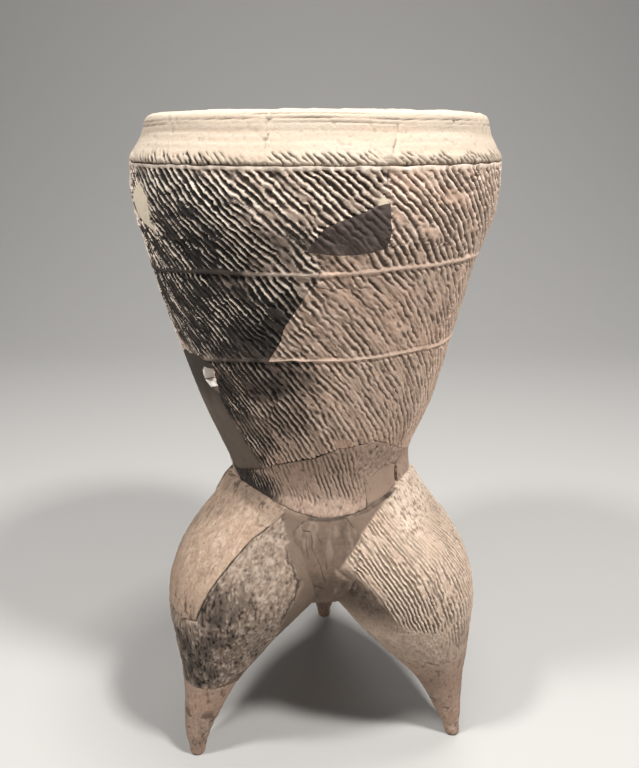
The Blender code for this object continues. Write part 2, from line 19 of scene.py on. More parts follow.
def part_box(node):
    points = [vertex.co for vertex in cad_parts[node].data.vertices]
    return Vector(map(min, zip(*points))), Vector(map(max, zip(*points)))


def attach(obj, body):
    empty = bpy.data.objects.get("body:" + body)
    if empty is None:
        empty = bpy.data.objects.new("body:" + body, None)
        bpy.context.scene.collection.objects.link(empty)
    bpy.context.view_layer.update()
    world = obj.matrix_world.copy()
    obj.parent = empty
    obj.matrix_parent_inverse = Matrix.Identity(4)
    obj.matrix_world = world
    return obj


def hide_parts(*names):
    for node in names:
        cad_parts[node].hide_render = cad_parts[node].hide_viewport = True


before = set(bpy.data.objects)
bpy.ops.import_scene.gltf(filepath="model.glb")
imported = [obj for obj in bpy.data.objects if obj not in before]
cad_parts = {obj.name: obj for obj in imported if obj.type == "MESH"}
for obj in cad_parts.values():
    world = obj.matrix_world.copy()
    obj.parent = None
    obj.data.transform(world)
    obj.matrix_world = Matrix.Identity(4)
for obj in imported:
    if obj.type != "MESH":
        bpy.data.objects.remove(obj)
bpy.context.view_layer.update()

MM = 0.001
WALL = 8.0
LEG_WALL = 7.0
WEB_DEPTH = 4.0

# Bowl outside as (height, radius), then the turned-in rim's outside and inside
BOWL = [
    (205, 80.5), (215, 76.5), (224, 73.4), (231, 72.3), (245, 74.2), (260, 79.5), (280, 88),
    (300, 95), (340, 106.3), (380, 117.5), (410, 125.5), (435, 132.8), (452, 135), (472, 135),
]
RIM = [
    (470, 135), (474, 134), (480, 130.6), (485, 127.8), (489, 125.8), (493, 124.6), (497, 123.6),
    (499.5, 122.3), (501.3, 120.3), (502, 117.6),
]
RIM_INSIDE = [(470, 127), (474, 126), (486, 119.6), (497, 115.2), (500, 115), (502, 116.2)]
SHOULDER = 470.0
WAIST_HEIGHT = 230.0

# Sideways sway of the bowl's axis as (height, shift)
SWAY = [(230, 4), (252, 0.8), (290, 0.5), (345, -1.2), (395, -2), (425, -0.6), (470, 0), (502, 1)]

# Legs as foot place, and (height, reach out from the waist, radius)
LEGS = {
    "left": ((-98.9, -73.4), [
        (0, 125.5, 4.4), (20, 124, 10), (40, 118.5, 15), (60, 112, 20), (80, 105, 27.3),
        (104, 94, 40), (130, 82, 55), (155, 65.5, 67), (180, 45.5, 72), (208, 18.5, 71), (232, 0, 72),
    ]),
    "right": ((116.8, -50.4), [
        (0, 123.5, 4.4), (20, 119, 9.8), (40, 113.5, 14.7), (60, 107, 21.8), (80, 97.6, 33),
        (104, 85, 46.4), (130, 74, 58.2), (155, 60.3, 67), (180, 42, 72), (208, 18.2, 71), (232, 0, 72),
    ]),
    "rear": ((7.7, 123.2), [
        (0, 123, 4.4), (20, 121, 10), (40, 115, 15), (60, 108.5, 21), (80, 101, 30),
        (104, 89.5, 43), (130, 78, 56.5), (155, 63, 67), (180, 44, 72), (208, 18.4, 71), (232, 0, 72),
    ]),
}

# Spread of a worn sole as (height, growth), and the length of a foot's tenon inside its pouch
SOLE_WEAR = [(0, 0), (1.2, 1.2), (4, 1), (12, 0)]
TENON = 12.0

# Clay pressed into the crotch and up the seams, as (height, radius)
WEB = [(132, 57.5), (145, 75.5), (160, 86.5), (180, 92.5), (200, 87), (214, 80), (222, 74), (232, 68)]
WEB_VAULT = 137.5
WEB_SHIFT = (-3.0, -1.5)

# Grate: its size and its rings of holes as (radius, count), and the level of the ledge's middle
GRATE_RADIUS = 60.6
GRATE_THICK = 9.0
GRATE_HOLE = 4.6
GRATE_RINGS = [(0, 1), (22, 6), (43, 12)]
LEDGE_LEVEL = 243.0

# String lines round the bowl as (bearing, height)
STRING_LINES = [
    [
        (-180, 401), (-76, 397), (-38, 403), (-13, 405), (4, 405), (25, 407), (58, 407), (120, 404),
        (180, 401),
    ],
    [
        (-180, 339), (-68, 332), (-30, 342), (-6, 346), (15, 346), (35, 347), (64, 344), (120, 341),
        (180, 339),
    ],
]

# Cord marks: how many go round the bowl and a leg, and the marks climbed by each height on the bowl
BOWL_CORDS = 132
LEG_CORDS = 122
CORD_CLIMB = [(225, 0), (262, 2.2), (300, 6.2), (345, 12.6), (400, 21), (470, 33.2), (502, 39)]

# Main furrows of the bowl: their rise and depth about the wall, and how many marks there are to each
FURROW_RISE = 0.3
FURROW_DEPTH = 0.9
CORDS_TO_FURROW = 4

# Each beating of the paddle as (tilt, shift) against the even run of the marks
BEATINGS = [(0.0, 0.0), (0.016, 0.37), (-0.013, 0.71), (0.006, 0.55)]

# How far the leg's marks turn for each millimetre that they drop, as (angle, degrees), and how that eases
# off lower down, as (height, drop)
LEG_DRIFT = [(-50, 0), (-32, 0.08), (-15, 0.3), (0, 0.5), (40, 0.5)]
LEG_DROP = [(80, -34), (120, -24), (150, -12), (170, 0), (190, 18), (232, 62)]

# Soot as (bearing or angle, height, half width, half height, strength). The last two patches, at the left
# of the waist, are partly soot and partly painted shadow under the bowl
BOWL_SOOT = [
    (-54, 412, 42, 38, 1.0), (-52, 372, 48, 42, 1.0), (-20, 370, 32, 38, 0.8), (-12, 424, 26, 18, 0.4),
    (-48, 450, 40, 26, 0.9), (-28, 328, 32, 32, 0.7), (-44, 306, 26, 36, 0.85), (-34, 276, 22, 28, 0.62),
    (-18, 300, 22, 32, 0.5), (-34, 262, 18, 16, 0.6), (-50, 236, 26, 14, 0.95), (-38, 226, 16, 10, 0.7),
]
LEFT_LEG_SOOT = [
    (38, 152, 24, 26, 0.95), (44, 128, 34, 18, 0.75), (16, 112, 44, 22, 0.8), (24, 86, 62, 18, 0.95),
    (84, 104, 30, 18, 0.5), (-60, 100, 60, 24, 0.6),
]
RIGHT_LEG_SOOT = [(-95, 165, 22, 20, 0.5), (-86, 146, 18, 14, 0.35)]

# Where seams stand open, given as the soot is. Elsewhere they are closed and toned in
BOWL_SEAMS = [
    (4, 262, 44, 12, 0.95), (0, 216, 62, 8.5, 1.0), (11, 412, 14, 4.5, 0.75), (1, 403, 6, 9, 0.6),
    (22.5, 464, 5, 9, 0.75), (36, 417, 20, 6, 0.3), (51, 236, 9, 9, 0.9), (-56, 250, 26, 12, 0.8),
    (-12, 372, 12, 30, 0.22), (22, 488, 6, 18, 0.7), (22, 476, 6, 9, 0.8), (-13, 488, 5, 14, 0.45),
]
LEFT_LEG_SEAMS = [(0, 175, 90, 46, 1.0), (0, 220, 180, 10, 0.6), (40, 72, 70, 10, 0.3)]
RIGHT_LEG_SEAMS = [(-60, 220, 60, 9, 0.8), (60, 220, 120, 9, 0.4)]

# Where the cord marks of the right and rear legs stop, as (height, angle round the leg). Beyond it on the
# inner side the legs are painted brown as the bowl's shadow
RIGHT_MARKS_EDGE = [
    (88, 4), (102, -30), (117, -40), (122, -55), (129, -71), (153, -74), (167, -77), (182, -81),
    (197, -65), (212, -46), (221, -31), (230, -7),
]
REAR_MARKS_EDGE = [(92, 0), (110, -40), (140, -70), (182, -82), (214, -60), (232, -50)]

# Angles at which the marks of those two legs end on the far side
RIGHT_MARKS_END = 100
REAR_MARKS_END = 80

# Left edge of the clay strip pressed over the left leg's seam, as (height, angle)
STRIP_EDGE = [
    (110, 112), (138, 89), (152, 83), (165, 82), (179, 72), (194, 57), (204, 50), (216, 39), (232, 30),
]

# Upper end of the left foot's clay, drawn up over the pouch at the inner side, as (angle, height)
FOOT_CLAY_EDGE = [(-180, 60), (40, 60), (58, 70), (77, 75), (90, 78), (112, 87), (150, 84), (180, 60)]

# Step across the left leg under its worn skin, and the edge of the bowl's painted shadow on its mended
# sherd, which is pale below it, as (angle, height)
LEFT_LEDGE = [(-30, 106), (-4, 107), (18, 109), (44, 102), (67, 98)]
LEG_SHERD_SHADOW_EDGE = [(-90, 232), (-24, 215), (3, 220), (34, 210), (54, 195), (71, 178)]

# Bearing of the rim break mended with crumbly plaster, then the pit beside the lip and the hole through the
# lower left fill, as (bearing, height)
MENDED_BREAK = -13.0
LIP_PIT = (44.0, 496.0)
FILL_HOLE = (-49.0, 322.0)

# Cracks of each piece as (bearing or angle, height), and on the web as places on its flat star
CRACKS = {
    "front_wall_sherd": [[(1, 397), (6, 395.5), (12, 395.5), (16, 396.5)], [(52, 372), (58, 371)]],
    "back_wall_sherd": [[(21, 404), (22, 409), (21, 414)]],
    "left_leg_pouch": [LEFT_LEDGE],
    "right_leg_pouch": [[(-99, 106), (-95, 104.5), (-91, 103)], [(-72, 89), (-60, 85), (-46, 87)]],
    "crotch_web": [
        [(-30.9, 157.5), (-18.3, 149), (-7.9, 149.8), (-4.7, 136), (3.8, 125), (4.7, 118), (7.2, 110)],
        [(-1.3, 148.5), (4.3, 142), (5.4, 137.5), (8.6, 130), (9.4, 121)],
        [(-13.5, 146), (-12.2, 138), (-9.0, 129)],
        [(-6, 104.5), (-0.5, 106), (7.8, 102)],
    ],
}

# Drawing: how near a solid's outer points lie to its skin, the steps along edges and over inner skins, how
# far edges grow into the joints, the cell of the inside test with its neighbours, half a crack's width, and
# the turn between faces from which an edge is sharp
SKIN_NEAR = 2.0
EDGE_STEP = 1.1
INNER_STEP = 7.0
EDGE_GROW = 0.22
GRID_CELL = 0.3
NEIGHBOURS = ((1, 0), (-1, 0), (0, 1), (0, -1), (1, 1), (-1, 1), (1, -1), (-1, -1))
CRACK_WIDTH = 0.65
SHARP_ANGLE = 72

# Boxes of the texture map that hold a piece's outer skin, inner skin and edges, as their corners
MAP_OUTER = ((0.005, 0.205), (0.995, 0.995))
MAP_INNER = ((0.005, 0.005), (0.6, 0.19))
MAP_EDGES = ((0.62, 0.005), (0.995, 0.19))
MASKS = ("groove", "soot", "pale", "crack", "smear")

# Fine steps of a skin across and along its marks, and the lean of the marks
MARKED_STEP = (0.52, 1.05, 42)
BACK_STEP = (0.8, 1.6, 42)
RIM_FRONT_STEP = (0.65, 0.9, 42)
RIM_RING_STEP = (0.8, 1.2, 42)
WAIST_STEP = (0.75, 1.2, 0)
LEG_STEP = (0.75, 1.1, 0)
LEG_SHERD_STEP = (0.75, 1.0, 0)
PLAIN_STEP = (1.0, 1.0, 0)
GRATE_STEP = (1.3, 1.3, 0)

# Camera: its place, how far it looks down, and its focal length over the picture's height
CAMERA_PLACE = (0.0029, -0.6016, 0.484)
CAMERA_PITCH = 17.30
CAMERA_FOCUS = 780 / 768

# Lamps as (place, height of the point they aim at on the pot's axis, size, power, colour)
WARM_WHITE = (1.0, 0.985, 0.965)
SOFT_WHITE = (1.0, 0.99, 0.98)
LAMPS = {
    "right_key": ((0.68, -0.72, 1.72), 0.30, 0.22, 37.0, WARM_WHITE),
    "left_key": ((-0.78, -0.62, 1.70), 0.30, 0.22, 24.0, WARM_WHITE),
    "top_softbox": ((0.16, -0.12, 2.0), 0.3, 0.30, 17.0, WARM_WHITE),
    "front_softbox": ((-0.2, -2.2, 0.75), 0.25, 1.2, 2.5, SOFT_WHITE),
    "back_softbox": ((0.35, 1.1, 2.1), 0.3, 1.0, 9.0, SOFT_WHITE),
}

# Floor: how far it runs forward, where and how widely it bends up, its top and half its width
SWEEP_FRONT = -3.0
SWEEP_BEND = 1.2
SWEEP_TOP = 4.0
SWEEP_HALF_WIDTH = 4.0


# Curves and noise

def smooth(points, at):
    """Values on a smooth curve through (place, value) points, level past its ends."""
    x, y = np.array(points, float).T
    at = np.clip(at, x[0], x[-1])
    before = np.maximum(np.arange(len(x)) - 1, 0)
    after = np.minimum(np.arange(len(x)) + 1, len(x) - 1)
    slope = (y[after] - y[before]) / (x[after] - x[before])
    i = np.clip(np.searchsorted(x, at, side="right") - 1, 0, len(x) - 2)
    span = x[i + 1] - x[i]
    t = (at - x[i]) / span
    bend = span * t * (1 - t) * ((1 - t) * slope[i] - t * slope[i + 1])
    return y[i] + (y[i + 1] - y[i]) * t * t * (3 - 2 * t) + bend


def eased(low, high, at):
    """0 below low, 1 above high, and a soft step between. It falls where low is over high."""
    t = np.clip((at - low) / (high - low), 0, 1)
    return t * t * (3 - 2 * t)


def hump(offset, half_width):
    """1 on a line, falling softly to 0 at half its width."""
    return eased(half_width, 0, np.abs(offset))


def lumps(points, size, seed):
    """Smooth random field from -1 to 1 over points, with hills about one size apart."""
    cell = points / size + 0.371 * seed
    low = np.floor(cell)
    part = cell - low
    part = part * part * (3 - 2 * part)
    low = low.astype(np.int64)
    total = np.zeros(len(points))
    for corner in range(8):
        step = np.array([corner >> axis & 1 for axis in range(3)])
        code = ((low + step) @ np.array([374761393, 668265263, 1103515245]) + seed * 974711) & 0xFFFFFFFF
        code = ((code ^ (code >> 13)) * 1274126177) & 0xFFFFFFFF
        code = code ^ (code >> 16)
        share = np.prod(np.where(step == 1, part, 1 - part), axis=1)
        total += share * (code & 0xFFFF) / 0xFFFF
    return 2 * total - 1


def wrapped(turn):
    """The same turn, between -180 and 180 degrees."""
    return (np.asarray(turn) + 180) % 360 - 180


def outwards(bearing):
    """Unit vector that points out at a bearing."""
    turn = math.radians(bearing)
    return np.array([math.sin(turn), -math.cos(turn)])


WAIST = np.array([float(smooth(SWAY, WAIST_HEIGHT)), 0.0])


# Skins: the pot's surfaces, each laid flat as a pattern

class BowlSkin:
    """Outside of the bowl and rim, laid flat as (arc, height) about a middle bearing."""

    spread = 1.9

    def __init__(self, middle=0.0):
        self.middle = middle

    def turn(self, flat):
        return self.middle + flat[:, 0] / self.spread

    def place(self, flat, inward=0.0):
        height = flat[:, 1]
        outer = np.where(height > SHOULDER, smooth(RIM, height), smooth(BOWL, height))
        inner = np.where(height > SHOULDER, smooth(RIM_INSIDE, height), outer - WALL)
        radius = outer + (inner - outer) * inward
        turn = np.radians(self.turn(flat))
        across = smooth(SWAY, height) + radius * np.sin(turn)
        return np.stack([across, -radius * np.cos(turn), height], 1)

    def flatten(self, points):
        across = points[:, 0] - smooth(SWAY, points[:, 2])
        bearing = np.degrees(np.arctan2(across, -points[:, 1]))
        return np.stack([wrapped(bearing - self.middle) * self.spread, points[:, 2]], 1)


class LegSkin:
    """Outside of one leg, laid flat as (arc, height). Angle 0 faces away from the pot."""

    spread = 1.2

    def __init__(self, name):
        foot, stations = LEGS[name]
        step = np.array(foot) - WAIST
        bearing = math.degrees(math.atan2(step[0], -step[1]))
        self.out = outwards(bearing)
        self.side = outwards(bearing + 90)
        self.reach = [(z, reach) for z, reach, _ in stations]
        self.radius = [(z, radius) for z, _, radius in stations]

    def turn(self, flat):
        return flat[:, 0] / self.spread

    def place(self, flat, inward=0.0):
        height = flat[:, 1]
        radius = smooth(self.radius, height) - LEG_WALL * inward
        turn = np.radians(self.turn(flat))
        along = smooth(self.reach, height) + radius * np.cos(turn)
        plan = WAIST + along[:, None] * self.out + (radius * np.sin(turn))[:, None] * self.side
        return np.column_stack([plan, height])

    def flatten(self, points):
        plan = points[:, :2] - WAIST
        along = plan @ self.out - smooth(self.reach, points[:, 2])
        turn = np.degrees(np.arctan2(plan @ self.side, along))
        return np.stack([turn * self.spread, points[:, 2]], 1)


class WebSkin:
    """Outside of the crotch web, laid flat as a star: the vault in the middle and an arm up each seam."""

    spread = None

    def __init__(self):
        low, edge = WEB[0]
        vault = np.linspace(0, edge, 40)
        heights = np.arange(low, WEB[-1][0] + 1.0)
        self.radius = np.concatenate([vault, smooth(WEB, heights)[1:]])
        rise = WEB_VAULT - (WEB_VAULT - low) * (vault / edge) ** 2
        self.height = np.concatenate([rise, heights[1:]])
        steps = np.hypot(np.diff(self.radius), np.diff(self.height))
        self.run = np.concatenate([[0], np.cumsum(steps)])
        self.arm = len(vault) - 1
        self.middle = WAIST + WEB_SHIFT

    def place(self, flat, inward=0.0):
        run = np.hypot(flat[:, 0], flat[:, 1])
        turn = np.arctan2(flat[:, 0], flat[:, 1])
        upright = eased(40, 80, run)
        radius = np.interp(run, self.run, self.radius) - WEB_DEPTH * inward * upright
        height = np.interp(run, self.run, self.height) + WEB_DEPTH * inward * (1 - upright)
        plan = self.middle + radius[:, None] * np.stack([np.sin(turn), -np.cos(turn)], 1)
        return np.column_stack([plan, height])

    def flatten(self, points):
        plan = points[:, :2] - self.middle
        radius = np.hypot(plan[:, 0], plan[:, 1])
        climb = np.interp(points[:, 2], self.height[self.arm:], self.run[self.arm:])
        run = np.where(radius < WEB[0][1], radius, climb)
        return plan * [1, -1] * (run / np.maximum(radius, 0.01))[:, None]


class DiscSkin:
    """Top of a flat disc, laid flat as it is."""

    spread = None

    def __init__(self, centre, top, thick):
        self.centre, self.top, self.thick = centre, top, thick

    def place(self, flat, inward=0.0):
        return np.column_stack([flat + self.centre, np.full(len(flat), self.top - self.thick * inward)])


# Outlines read from the solids

def solid_mesh(node):
    """A solid's points in millimetres, each place once, and its triangles."""
    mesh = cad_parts[node].data
    mesh.calc_loop_triangles()
    points = np.empty(len(mesh.vertices) * 3, np.float32)
    mesh.vertices.foreach_get("co", points)
    corners = np.empty(len(mesh.loop_triangles) * 3, np.int32)
    mesh.loop_triangles.foreach_get("vertices", corners)
    places, index = np.unique(points.reshape(-1, 3), axis=0, return_inverse=True)
    return places.astype(float) / MM, index.reshape(-1)[corners].reshape(-1, 3)


def open_edges(faces):
    """Directed edges that only one of the faces has."""
    pairs = np.concatenate([faces[:, [0, 1]], faces[:, [1, 2]], faces[:, [2, 0]]])
    many = int(faces.max()) + 1
    ahead = pairs[:, 0].astype(np.int64) * many + pairs[:, 1]
    back = pairs[:, 1].astype(np.int64) * many + pairs[:, 0]
    return pairs[~np.isin(ahead, back)]


def solid_outlines(node, skin):
    """Loops round a solid's outer face, on the skin's flat pattern, each in order."""
    points, faces = solid_mesh(node)
    flat = skin.flatten(points)
    near = np.linalg.norm(points - skin.place(flat), axis=1) < SKIN_NEAR
    following = dict(open_edges(faces[near[faces].all(1)]).tolist())
    loops = []
    while following:
        start, here = following.popitem()
        loop = [start]
        while here in following:
            loop.append(here)
            here = following.pop(here)
        loops.append(flat[loop])
    return [loop for loop in loops if len(loop) > 2]


def unrolled(loop, trip):
    """The loop with its arcs running on past the back of the pattern, and how far it goes round."""
    steps = np.diff(np.append(loop[:, 0], loop[0, 0]))
    steps = (steps + trip / 2) % trip - trip / 2
    arcs = loop[0, 0] + np.concatenate([[0], np.cumsum(steps)])
    return np.column_stack([arcs[:-1], loop[:, 1]]), arcs[-1] - arcs[0]


def cut_open(loop, trip):
    """A loop that runs right round, cut at the back: its points from one end of a pattern to the other."""
    laps = np.concatenate([loop + [shift * trip, 0] for shift in (-1, 0, 1, 2)])
    first = int(np.argmax(laps[:, 0] > -trip / 2))
    last = int(np.argmax(laps[:, 0] > trip / 2))
    before, after = laps[first - 1], laps[first]
    share = (-trip / 2 - before[0]) / (after[0] - before[0])
    height = before[1] + (after[1] - before[1]) * share
    return np.concatenate([[[-trip / 2, height]], laps[first:last], [[trip / 2, height]]])


def stepped(line, step):
    """A line split into runs no longer than the step, with both ends."""
    parts = [line[:1]]
    for a, b in zip(line, line[1:]):
        count = max(1, math.ceil(np.linalg.norm(b - a) / step))
        parts.append(a + (b - a) * (np.arange(1, count + 1) / count)[:, None])
    return np.concatenate(parts)


def grown(loop, amount):
    """A closed loop moved outwards, to the right of its run."""
    ahead = np.roll(loop, -1, 0) - loop
    ahead /= np.maximum(np.linalg.norm(ahead, axis=1), 1e-9)[:, None]
    both = ahead + np.roll(ahead, 1, 0)
    both /= np.maximum(np.linalg.norm(both, axis=1), 0.5)[:, None]
    return loop + amount * np.stack([both[:, 1], -both[:, 0]], 1)


class Outline:
    """Edge points of a pattern, the runs between them, and pairs of points that close a ring's back."""

    def __init__(self, loops, skin, step):
        self.coarse = []
        self.points = np.empty((0, 2))
        self.runs = []
        self.weld = {}
        if skin.spread:
            trip = 360 * skin.spread
            rolled = [unrolled(loop, trip) for loop in loops]
            bands = [loop if lap > 0 else loop[::-1] for loop, lap in rolled if abs(lap) > trip / 2]
            loops = [loop for loop, lap in rolled if abs(lap) < trip / 2]
            if bands:
                bands.sort(key=lambda band: band[:, 1].mean())
                self.add_band(*(cut_open(band, trip) for band in bands), step)
        for loop in loops:
            self.coarse.append(loop)
            self.add_loop(stepped(np.concatenate([loop, loop[:1]]), step)[:-1])

    def add_loop(self, points):
        start, count = len(self.points), len(points)
        self.runs += [(start + i, start + (i + 1) % count) for i in range(count)]
        self.points = np.concatenate([self.points, points])

    def add_band(self, low, high, step):
        """Joins the lower and upper edges of a band by two sides that meet at the back of the pot."""
        self.coarse.append(np.concatenate([low, high[::-1]]))
        low, high = stepped(low, step), stepped(high, step)[::-1]
        side = stepped(np.array([low[-1], high[0]]), step)[1:-1]
        mirror = side[::-1] * [-1, 1]
        right, top = len(low), len(low) + len(side)
        left = top + len(high)
        self.weld = {right - 1: 0, top: left - 1}
        self.weld |= {right + k: left + len(side) - 1 - k for k in range(len(side))}
        self.add_loop(np.concatenate([low, side, high, mirror]))

    def sides(self):
        """Points on the sides of a band, which aren't edges of the piece."""
        return [*self.weld, *self.weld.values()]


def inside(points, loops, clear):
    """Which points are within the loops and clear of their edges, read off a fine grid."""
    starts = np.concatenate(loops)
    ends = np.concatenate([np.roll(loop, -1, 0) for loop in loops])
    low = starts.min(0) - 3 * GRID_CELL
    columns, rows = np.ceil((starts.max(0) - low) / GRID_CELL).astype(int) + 3
    middles = low[0] + (np.arange(columns) + 0.5) * GRID_CELL
    grid = np.zeros((rows, columns), bool)
    for row in range(rows):
        level = low[1] + (row + 0.5) * GRID_CELL
        crosses = (starts[:, 1] > level) != (ends[:, 1] > level)
        a, b = starts[crosses], ends[crosses]
        at = np.sort(a[:, 0] + (b[:, 0] - a[:, 0]) * (level - a[:, 1]) / (b[:, 1] - a[:, 1]))
        grid[row] = np.searchsorted(at, middles) % 2
    for turn in range(math.ceil(clear / GRID_CELL)):
        shrunk = grid.copy()
        for step in NEIGHBOURS[:4 + 4 * (turn % 2)]:
            shrunk &= np.roll(grid, step, (0, 1))
        grid = shrunk
    cells = np.floor((points - low) / GRID_CELL).astype(int)
    within = ((cells >= 0) & (cells < [columns, rows])).all(1)
    cells = np.clip(cells, 0, [columns - 1, rows - 1])
    return within & grid[cells[:, 1], cells[:, 0]]


def lattice(loops, across, along, lean):
    """Rows of points over the loops, turned so that their fine steps run across the cord marks."""
    corners = np.concatenate(loops)
    middle = (corners.min(0) + corners.max(0)) / 2
    half = np.linalg.norm(corners.max(0) - corners.min(0)) / 2
    turn = math.radians(lean)
    axes = np.array([[math.cos(turn), math.sin(turn)], [-math.sin(turn), math.cos(turn)]])
    rows = np.arange(-half, half, across)
    columns = np.arange(-half, half, along)
    grid = np.stack(np.meshgrid(rows, columns, indexing="ij"), -1).reshape(-1, 2)
    grid[:, 1] += along / 2 * (np.round(grid[:, 0] / across) % 2)
    return middle + grid @ axes


def off_line(points, line):
    """Distance from each point to a line of runs."""
    best = np.full(len(points), 1e9)
    for a, b in zip(line, line[1:]):
        run = b - a
        share = np.clip((points - a) @ run / (run @ run), 0, 1)
        best = np.minimum(best, np.linalg.norm(points - a - share[:, None] * run, axis=1))
    return best


# Drawing a piece

def loop_spans(runs):
    """First and last index of each loop of edge points."""
    starts = [b for a, b in runs if b <= a]
    return list(zip(starts, starts[1:] + [len(runs)]))


def cut_pattern(edge, runs, filling):
    """Triangles over a pattern with its holes left open: points, faces, and where each edge point went."""
    points = [Vector(p) for p in np.concatenate([edge, filling])]
    places, _, faces, origin, *_ = delaunay_2d_cdt(points, runs, [], 2, 1e-5)
    where = np.zeros(len(edge), int)
    for index, sources in enumerate(origin):
        for source in sources:
            if source < len(edge):
                where[source] = index
    faces = np.array(faces)
    spans = loop_spans(runs)
    outside = max(spans, key=lambda span: np.ptp(edge[span[0]:span[1]], axis=0).sum())
    round_hole = np.zeros(len(places), int)
    for number, (first, last) in enumerate(spans, 1):
        if (first, last) != outside:
            round_hole[where[first:last]] = number
    corners = round_hole[faces]
    across_hole = (corners[:, 0] > 0) & (corners.min(1) == corners.max(1))
    return np.array(places), faces[~across_hole], where


def normals_of(skin, flat):
    """Directions straight out of a skin."""
    step = 0.2
    right = skin.place(flat + [step, 0]) - skin.place(flat - [step, 0])
    up = skin.place(flat + [0, step]) - skin.place(flat - [0, step])
    normal = np.cross(right, up)
    return normal / np.maximum(np.linalg.norm(normal, axis=1), 1e-12)[:, None]


def map_box(flat, low, high):
    """Pattern points fitted into a box of the piece's texture map."""
    least, most = flat.min(0), flat.max(0)
    return np.array(low) + (flat - least) / (most - least) * (np.array(high) - low)


def new_object(name, data):
    """An object in the scene."""
    obj = bpy.data.objects.new(name, data)
    bpy.context.scene.collection.objects.link(obj)
    return obj


def piece_object(name, points, faces, corners, masks, finish, body="vessel"):
    """A shaded piece from points and arrays of faces, with its texture map and painted masks."""
    mesh = bpy.data.meshes.new(name)
    used, index = np.unique(np.concatenate([group.ravel() for group in faces]), return_inverse=True)
    sizes = np.concatenate([np.full(len(group), group.shape[1]) for group in faces])
    mesh.vertices.add(len(used))
    mesh.vertices.foreach_set("co", (points[used] * MM).astype(np.float32).ravel())
    mesh.loops.add(len(index))
    mesh.loops.foreach_set("vertex_index", index.astype(np.int32).ravel())
    mesh.polygons.add(len(sizes))
    mesh.polygons.foreach_set("loop_start", (np.cumsum(sizes) - sizes).astype(np.int32))
    mesh.update(calc_edges=True)
    layer = mesh.uv_layers.new(name="OFBake")
    layer.uv.foreach_set("vector", np.asarray(corners, np.float32).ravel())
    for key in MASKS:
        mask = mesh.attributes.new(key, "FLOAT", "POINT")
        values = masks[key][used] if key in masks else np.zeros(len(used))
        mask.data.foreach_set("value", values.astype(np.float32))
    mesh.shade_smooth()
    mesh.set_sharp_from_angle(angle=math.radians(SHARP_ANGLE))
    mesh.materials.append(finish)
    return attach(new_object(name, mesh), body)


def crack_lines(skin, cracks):
    """Each crack as a fine line that wanders a little, on the skin's flat pattern."""
    lines = []
    for points in cracks:
        line = stepped(np.array(points, float) * [skin.spread or 1, 1], 0.9)
        place = skin.place(line)
        lines.append(line + 0.6 * np.stack([lumps(place, 4, 31), lumps(place, 4, 32)], 1))
    return lines


def with_cracks(filling, lines):
    """Filling points, with rows laid along each crack and on both its lips."""
    for line in lines:
        ahead = np.gradient(line, axis=0)
        ahead /= np.linalg.norm(ahead, axis=1)[:, None]
        lip = CRACK_WIDTH * np.stack([-ahead[:, 1], ahead[:, 0]], 1)
        filling = filling[off_line(filling, line) > CRACK_WIDTH * 1.3]
        filling = np.concatenate([filling, line, line + lip, line - lip])
    return filling


def open_up(skin, flat, base, rim, lines, seams, push, masks):
    """Sinks and paints the seams round a piece's rim and the cracks across it."""
    ragged = np.clip(0.55 + 0.8 * lumps(base[rim], 8, 21) + 0.4 * lumps(base[rim], 2.5, 22), 0, 1)
    gape = 0.08 + 0.92 * seams(skin, flat[rim], base[rim]) if seams else np.full(len(rim), 0.2)
    gape = gape * np.maximum(0.25 + 0.75 * ragged, 0.75 * eased(0.75, 0.95, gape))
    push[rim] -= 0.05 + 0.8 * gape
    crack = np.zeros(len(flat))
    crack[rim] = gape
    pale = masks.setdefault("pale", np.zeros(len(flat)))
    clean = 1 - masks["soot"][rim] if "soot" in masks else 1
    pale[rim] = np.maximum(pale[rim], (0.4 - gape) * clean)
    for line in lines:
        depth = np.clip(1 - off_line(flat, line) / CRACK_WIDTH, 0, 1) * (0.55 + 0.45 * lumps(base, 6, 33))
        push -= 0.9 * depth
        crack = np.maximum(crack, 0.9 * depth)
    masks["crack"] = crack


def carried_inside(masks, inner, rim, inner_rim):
    """Masks of both skins: inside there is a stain, and the broken edges are as they are outside."""
    stain = 0.38 + 0.25 * lumps(inner, 45, 41) + 0.15 * lumps(inner, 13, 42)
    stain *= 0.3 + 0.7 * eased(486, 462, inner[:, 2])
    masks.setdefault("smear", np.zeros(len(masks["crack"])))
    whole = {}
    for key, values in masks.items():
        within = np.clip(stain, 0, 1) if key == "smear" else np.zeros(len(inner))
        if key in ("pale", "crack"):
            within[inner_rim] = values[rim]
        whole[key] = np.concatenate([values, within])
    return whole


